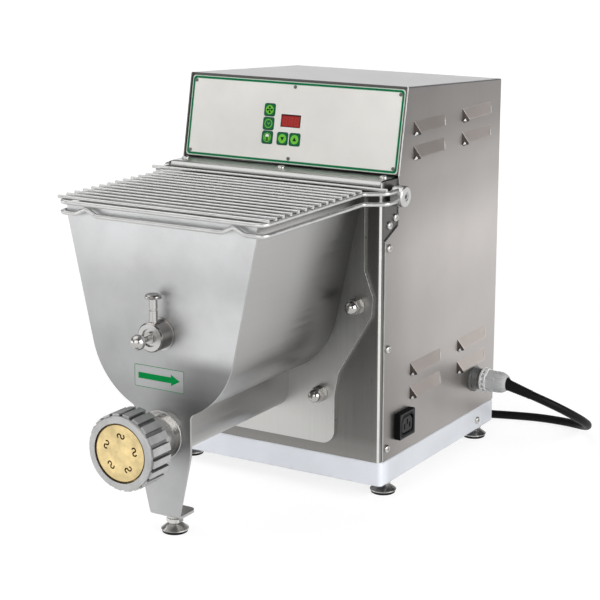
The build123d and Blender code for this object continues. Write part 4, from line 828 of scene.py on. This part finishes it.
def make_arrow_label():
    """Clear film on the front plate with a green frame and an arrow: how the paddle turns."""
    cover = Shape().film(FRONT, rounded_rect(*ARROW_LABEL, *ARROW_LABEL_SIZE, 1.6),
                         (-0.02, 0.06))
    piece("arrow_film", cover, FILM, "machine")
    art = Shape().frame(FRONT, ARROW_LABEL, ARROW_LABEL_SIZE, 0.45, (1.6, 1.2), (0.02, 0.10))
    art.film(FRONT, [(-25, 142.0), (9.5, 142.0), (9.5, 139.6), (18.8, 144.8), (9.5, 150.0),
                     (9.5, 147.4), (-25, 147.4)], (0.02, 0.10))
    piece("arrow_print", art, ARROW_GREEN, "machine")


make_fascia()
make_keys()
make_display()
make_louvre_spots()
make_arrow_label()


# ---------------------------------------------------------------- feet
# X and Y of each foot, and the height at which its thread ends.
FEET = {"front_left": (-109, 23, 32.0), "front_right": (109, 23, 32.0),
        "rear_left": (-109, 219, 32.0), "rear_right": (109, 219, 32.0),
        "hopper_leg": (0, -162.4, 25.5)}
FOOT_FLATS = 6.5        # half width across its nuts' flats
FOOT_NUT_END_R = 6.0    # their radius at a chamfered end
FOOT_NUT = (9.4, 13.1)  # heights between which a nut stands
LEG_LOCK_NUT = (13.9, 17.65)
FOOT_THREAD_R = 4.0


def hexagon(angle, flat):
    """Distance to a hexagon's side in a direction, for a half width across its flats."""
    turn = (angle + pi / 6) % (pi / 3) - pi / 6
    return flat / cos(turn)


def thread_rings(r, low, high, pitch=1.25, depth=0.35):
    """Lathe profile of a threaded rod."""
    profile = []
    z = low
    while z < high - 0.01:
        profile += [(r - depth, z), (r, min(z + 0.5 * pitch, high))]
        z += pitch
    profile.append((r - depth, high))
    return profile


def make_feet():
    def nut_side(r, angle, h):
        return min(hexagon(angle, FOOT_FLATS), 7.0 + (r - FOOT_NUT_END_R))

    for name, (x, y, top) in FEET.items():
        body = f"foot_{name}_body"
        here = place((x, y, 0), (0, 0, 1))
        pad = Shape().lathe([(9.6, 0.0), (10.7, 0.0), (11.3, 0.4), (11.6, 1.2), (11.7, 2.6),
                             (11.4, 2.9), (10.6, 2.9)], here, 56)
        piece(f"foot_{name}_pad", pad, RUBBER, body)
        steel = Shape().lathe([(11.4, 2.5), (12.3, 2.7), (12.5, 3.1), (12.4, 3.7), (11.9, 4.1),
                               (8.4, 6.7), (5.9, 8.6), (5.2, 9.3), (4.9, 9.5)], here, 56)
        for low, high in (FOOT_NUT, LEG_LOCK_NUT) if name == "hopper_leg" else (FOOT_NUT,):
            steel.lathe([(FOOT_NUT_END_R, low), (FOOT_FLATS, low + 0.4),
                         (FOOT_FLATS, high - 0.4), (FOOT_NUT_END_R, high)],
                        here, 60, radius=nut_side)
        steel.lathe(thread_rings(FOOT_THREAD_R, 9.0, top), here, 28)
        obj = piece(f"foot_{name}_steel", steel, FOOT, body, smooth=35)
        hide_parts(f"foot_{name}")


make_feet()


# ---------------------------------------------------------------- gland
DOME_FLATS = 9.75       # half widths across flats
RING_FLATS = 11.4
LOCK_FLATS = 12.4
DOME_FLATS_END = 144.6  # above this the dome nut is round
TEETH = 14              # round the ring, between these heights
TOOTH_SPAN = (131.9, 134.4)
TOOTH_DEPTH = 2.6


def make_gland():
    """Its pieces, with heights measured along X from the machine's middle."""
    axis = place((0, *GLAND), (1, 0, 0), (0, 1, 0))

    def flatted(half_width):
        return lambda r, angle, h: min(hexagon(angle, half_width), r)

    def dome(r, angle, h):
        return min(hexagon(angle, DOME_FLATS), r) if h < DOME_FLATS_END else r

    nut = Shape().lathe([(10.4, 135.6), (11.2, 136.2), (11.2, 140.0), (11.2, 143.6),
                         (10.9, 144.5), (9.7, 144.7), (9.7, 148.0), (9.5, 151.0), (8.9, 153.6),
                         (7.9, 155.5), (6.9, 156.4), (6.2, 156.2), (5.9, 155.0), (5.9, 153.4)],
                        axis, 144, radius=dome)
    for i in range(12):
        tip = axis @ Matrix.Rotation(radians(30 * i + 15), 4, "Z")
        rib = [(8.6, -1.0), (10.5, -0.75), (10.5, 0.75), (8.6, 1.0)]
        nut.loops([[tip @ Vector((r + lift, w, h)) for r, w in rib] for h, lift in (
            (144.4, 0.2), (147.5, 0.1), (151.0, -0.35), (153.2, -1.2), (154.6, -2.1))],
            caps=(True, True))
    obj = piece("gland_nut_shell", nut, GREY, "machine")
    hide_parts("gland_dome_nut")
    seal = Shape().lathe([(5.95, 150.0), (5.95, 154.6), (5.7, 156.0), (5.3, 157.2),
                          (4.9, 157.8), (4.4, 157.9)], axis, 48)
    seal_obj = piece("gland_seal", seal, RUBBER, "machine")

    def toothed(r, angle, h):
        low, high = TOOTH_SPAN
        gap = low < h < high and (angle * TEETH / (2 * pi)) % 1 > 0.55
        return r - TOOTH_DEPTH if gap else r

    ring = Shape().lathe([(12.2, 129.9), (12.7, 130.3), (12.7, 131.7), (12.2, 131.8),
                          (12.0, 132.0), (12.0, 134.2), (12.1, 134.5)], axis, 224,
                         radius=toothed)
    ring.lathe([(11.6, 134.3), (12.6, 134.6), (12.6, 135.7), (11.6, 136.0)], axis, 72,
               radius=flatted(RING_FLATS))
    ring_obj = piece("gland_ring", ring, GREY_LIGHT, "machine")
    thread = Shape().lathe(thread_rings(10.7, 118.7, 130.3, 1.9, 0.9), axis, 48)
    thread.lathe([(12.6, 118.6), (13.6, 118.8), (13.6, 120.6), (13.2, 121.0), (10.0, 121.0)],
                 axis, 72, radius=flatted(LOCK_FLATS))
    thread_obj = piece("gland_thread", thread, GREY_DARK, "machine")
    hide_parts("gland_body")
    return [obj, seal_obj, ring_obj, thread_obj]


GLAND_PIECES = make_gland()


# ---------------------------------------------------------------- small bright parts
COLLAR_R = 21.5
COLLAR_OUT = 181.7  # how far in front of Y = 0 its edge stands
BEAD_R = 0.45


def make_collar_edge():
    """Rolled bright edge of the nose's collar on the front plate."""
    bead = [(COLLAR_R + BEAD_R * cos(a), COLLAR_OUT + BEAD_R * sin(a))
            for a in (2 * pi * i / 12 for i in range(13))]
    edge = Shape().lathe(bead, place((0, 0, AUGER_Z), (0, -1, 0)), 96, caps=(False, False))
    piece("collar_edge", edge, WIRE, "machine")


OUTLET = (41.75, 64.25)  # Y and Z of its middle


def cut_rect(w, h, cut, r):
    """A rectangle of two half sizes, with its top corners cut and its bottom ones rounded."""
    points = [(w, h - cut), (w - cut * 0.8, h), (-(w - cut * 0.8), h), (-w, h - cut)]
    for x, start in ((-(w - r), 180), (w - r, 270)):
        points += circle(x, -(h - r), r, 6, start, 90)
    return points


def make_outlet():
    """The outlet's well widened to the shape of its plug, round the three-slot core."""
    face = place((SIDE, *OUTLET), (1, 0, 0), (0, 1, 0))
    well = Shape().band(face, cut_rect(13.0, 10.4, 5.5, 2.4), cut_rect(10.9, 8.3, 3.4, 3.4),
                        (5.9, 6.03))
    piece("outlet_well", well, RUBBER, "machine", None)
    core = Shape().band(face, cut_rect(9.9, 7.2, 4.4, 3.2), cut_rect(8.3, 5.9, 2.6, 2.9),
                        (1.1, 5.42))
    piece("outlet_core", core, BLACK_SOFT, "machine")


def make_die_rim_shade():
    """Dark painted shade on the chamfer round the die's face."""
    face = place((0, DIE_Y, AUGER_Z), (0, -1, 0))
    rim = Shape().band(face, circle(0, 0, DIE_R, 96), circle(0, 0, DIE_R - 0.63, 96),
                       (-0.2, 0.04))
    piece("die_rim_shade", rim, DIE_RIM_SHADE, "die")


make_collar_edge()
make_outlet()
make_die_rim_shade()


# ---------------------------------------------------------------- cord and plug
CORD_START_X = 151.5
U_TURN = (165.5, 247.5)  # X and Y of the middle of its turn beside the machine
U_TURN_R = 52.5
COIL = (-5.0, 315.0)
COIL_R = 55.5            # the outermost turn's first radius
COIL_PITCH = 8.5
STEPS = 16               # points in a turn


def cord_route():
    """The cord's own points, in millimetres: gland, U-turn, floor."""
    points = [(CORD_START_X, *GLAND)]
    reach = U_TURN_R / cos(radians(15))
    for i, z in enumerate((62.5, 49.5, 33.0, 18.0, 7.5, CORD_R)):
        angle = radians(-75 + 30 * i)
        points.append((U_TURN[0] + reach * cos(angle), U_TURN[1] + reach * sin(angle), z))
    for back, out in ((153, 39.8), (122, 31), (89, 19), (55, 8), (25, 1.8)):
        points.append((COIL[0] + back, COIL[1] - COIL_R + out, CORD_R))
    return points


def coil_turns():
    """Five turns: two inwards on the floor, one climbing inside, two outwards on top."""
    low, high = CORD_R, 3 * CORD_R

    def outwards(r, step, s):
        """Most of the way out within a quarter of the turn, and 2 mm over the rest."""
        return r + step * min(1, 4 * s) + 2.0 * max(0, s - 0.25) / 0.75

    points = []
    for i in range(5 * STEPS + 1):
        turn, s = divmod(i / STEPS, 1)
        if turn < 2:
            r, z = COIL_R - COIL_PITCH * (turn + s), low
        elif turn == 2:
            r = COIL_R - 2 * COIL_PITCH - 2.0 * sin(pi * s)
            z = low + (high - low) * sin(pi * s / 2)
        elif turn == 3:
            r, z = outwards(38.0, 6.0, s), high
        else:
            r, z = outwards(46.0, 6.5, s if turn == 4 else 1.0), high
        angle = -pi / 2 - 2 * pi * i / STEPS
        points.append((COIL[0] + r * cos(angle), COIL[1] + r * sin(angle), z))
    return points


def make_cord():
    to_plug = [(-24, 261.5, 12.9), (-42, 264.5, 14.2), (-60, 267.3, 17.0), (-80, 268.0, 18.5),
               (-90, 268.0, 18.5)]
    points = cord_route() + coil_turns() + to_plug
    curve = bpy.data.curves.new("mains_cord", "CURVE")
    curve.dimensions = "3D"
    spline = curve.splines.new("NURBS")
    spline.points.add(len(points) - 1)
    for target, point in zip(spline.points, points):
        target.co = (*at(*point), 1)
    spline.order_u = 3
    spline.use_endpoint_u = True
    spline.resolution_u = 6
    curve.bevel_depth = CORD_R * MM
    curve.bevel_resolution = 6
    curve.use_fill_caps = True
    cord = piece("mains_cord", curve, CABLE, "machine")
    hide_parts("cord", "cord_coil")
    return cord


CORD = make_cord()


def cord_line(cord):
    """Points of the cord's own line, in metres, from its curve with no thickness."""
    line = cord.data.copy()
    line.bevel_depth = 0.0
    line.use_fill_caps = False
    line.resolution_u = 12
    holder = bpy.data.objects.new("cord_line", line)
    mesh = bpy.data.meshes.new_from_object(holder)
    points = [v.co.copy() for v in mesh.vertices]
    bpy.data.objects.remove(holder)
    bpy.data.meshes.remove(mesh)
    bpy.data.curves.remove(line)
    return points


SLEEVE_START = 3.6  # along the cord's own line
SLEEVE_L = 27.0
SLEEVE_STEPS = 54
SLEEVE_R, SLEEVE_TAPER = 5.75, 1.15
RIB_DEPTH = 0.28


def make_sleeve():
    """Tapered and ribbed bend relief round the cord at the gland's mouth."""
    line = cord_line(CORD)
    runs = [0.0]
    for a, b in zip(line, line[1:]):
        runs.append(runs[-1] + (b - a).length / MM)

    def spot(run):
        """Point and direction of the line that far along it."""
        k = next(i for i in range(1, len(runs)) if runs[i] >= run)
        share = (run - runs[k - 1]) / (runs[k] - runs[k - 1])
        return line[k - 1].lerp(line[k], share), (line[k] - line[k - 1]).normalized()

    stations = [(SLEEVE_START, CORD_R - 0.1)]
    for i in range(SLEEVE_STEPS + 1):
        t = i / SLEEVE_STEPS
        rib = RIB_DEPTH if 0.12 < t < 0.9 and int(t * SLEEVE_STEPS / 2) % 2 else 0.0
        stations.append((SLEEVE_START + t * SLEEVE_L, SLEEVE_R - SLEEVE_TAPER * t - rib))
    stations.append((SLEEVE_START + SLEEVE_L + 0.3, CORD_R - 0.1))
    rings = []
    for run, radius in stations:
        centre, along = spot(run)
        across = along.cross(Vector((0, 0, 1))).normalized()
        up = across.cross(along)
        ring = []
        for k in range(28):
            angle = 2 * pi * k / 28
            point = centre + (across * cos(angle) + up * sin(angle)) * radius * MM
            ring.append(point / MM - Vector((0, SHIFT, 0)))
        rings.append(ring)
    sleeve = Shape().loops(rings, caps=(True, True))
    return piece("cord_sleeve", sleeve, RUBBER, "machine")


GLAND_PIECES.append(make_sleeve())


# ---------------------------------------------------------------- floor, world, lamps
FLOOR_HALF = 20
GLOW_REACH = (0.5, 3.0)  # metres from the middle between which the floor gets brighter
VIEWER = Vector((0.62, -0.76, 0.2)).normalized()


def make_floor():
    """White where it is looked at or mirrored, and plain and matte to all other light."""
    corners = [(x * FLOOR_HALF, y * FLOOR_HALF, 0) for x, y in ((-1, -1), (1, -1), (1, 1), (-1, 1))]
    floor = bpy.data.objects.new("floor", mesh_of("floor", corners, [(0, 1, 2, 3)]))
    bpy.context.scene.collection.objects.link(floor)
    material = bpy.data.materials.new("floor_white")
    material.use_nodes = True
    nodes = Nodes(material.node_tree)
    nodes.tree.nodes.clear()
    matte = nodes.node("ShaderNodeBsdfDiffuse", (0.30, 0.30, 0.30, 1))
    where = nodes.node("ShaderNodeTexCoord").outputs["Object"]
    far = nodes.node("ShaderNodeVectorMath", where, operation="LENGTH").outputs["Value"]
    glow = nodes.node("ShaderNodeEmission", (1, 1, 1, 1),
                      nodes.ranged(far, *GLOW_REACH, 0.80, 1.0, "SMOOTHSTEP"))
    both = nodes.node("ShaderNodeAddShader", matte.outputs[0], glow.outputs[0])
    plain = nodes.node("ShaderNodeBsdfDiffuse", (0.85, 0.85, 0.85, 1))
    path = nodes.node("ShaderNodeLightPath").outputs
    seen = nodes.number("MAXIMUM", path["Is Camera Ray"], path["Is Glossy Ray"])
    seen = nodes.number("MAXIMUM", seen, path["Is Transmission Ray"])
    pick = nodes.node("ShaderNodeMixShader", seen, plain.outputs[0], both.outputs[0])
    nodes.node("ShaderNodeOutputMaterial", pick.outputs[0])
    floor.data.materials.append(material)


def make_world():
    """A pale room: bright round the horizon, greyer overhead, dark where the viewer stands.
    The camera itself sees plain white."""
    world = bpy.data.worlds.new("studio")
    bpy.context.scene.world = world
    world.use_nodes = True
    nodes = Nodes(world.node_tree)
    there = nodes.node("ShaderNodeTexCoord").outputs["Generated"]
    ramp = nodes.node("ShaderNodeValToRGB", nodes.node("ShaderNodeSeparateXYZ", there).outputs["Z"])
    stops = ramp.color_ramp.elements
    for stop in list(stops)[1:]:
        stops.remove(stop)
    stops[0].color = (1.0, 1.0, 1.0, 1)
    for position, level in ((0.03, 0.9), (0.10, 0.62), (0.22, 0.30), (0.35, 0.15), (0.9, 0.12)):
        stops.new(position).color = (level, level, level * 1.03, 1)
    toward = nodes.node("ShaderNodeVectorMath", there, VIEWER, operation="DOT_PRODUCT")
    room = nodes.tree.nodes["Background"]
    nodes.link(ramp.outputs["Color"], room.inputs["Color"])
    nodes.link(nodes.ranged(toward.outputs["Value"], 0.62, 0.86, 1.0, 0.12, "SMOOTHSTEP"),
               room.inputs["Strength"])
    white = nodes.node("ShaderNodeBackground", (1.0, 1.0, 1.0, 1), 1.0)
    path = nodes.node("ShaderNodeLightPath").outputs
    choice = nodes.node("ShaderNodeMixShader", path["Is Camera Ray"], room.outputs[0],
                        white.outputs[0])
    nodes.link(choice.outputs[0], nodes.tree.nodes["World Output"].inputs["Surface"])


def softbox(name, centre, aim, width, height, power):
    data = bpy.data.lights.new(name, "AREA")
    data.shape = "RECTANGLE"
    data.size, data.size_y = width, height
    data.energy = power
    lamp = bpy.data.objects.new(name, data)
    bpy.context.scene.collection.objects.link(lamp)
    lamp.location = centre
    lamp.visible_camera = False
    lamp.rotation_mode = "QUATERNION"
    lamp.rotation_quaternion = (Vector(aim) - Vector(centre)).to_track_quat("-Z", "Y")


make_floor()
make_world()
softbox("key", (0.45, -2.5, 1.2), (0, -0.1, 0.2), 2.6, 1.6, 30)
softbox("left", (-2.2, -1.5, 0.45), (0, -0.1, 0.2), 1.4, 0.8, 9)
softbox("top", (-0.95, -0.35, 2.1), (-0.05, -0.05, 0.25), 2.2, 2.2, 24)
softbox("side", (2.4, -0.1, 1.0), (0, 0, 0.1), 2.4, 1.6, 54)
softbox("back", (-1.3, 2.4, 0.95), (0, 0.1, 0.3), 2.6, 1.0, 9.0)

bpy.context.scene.view_settings.view_transform = "Standard"
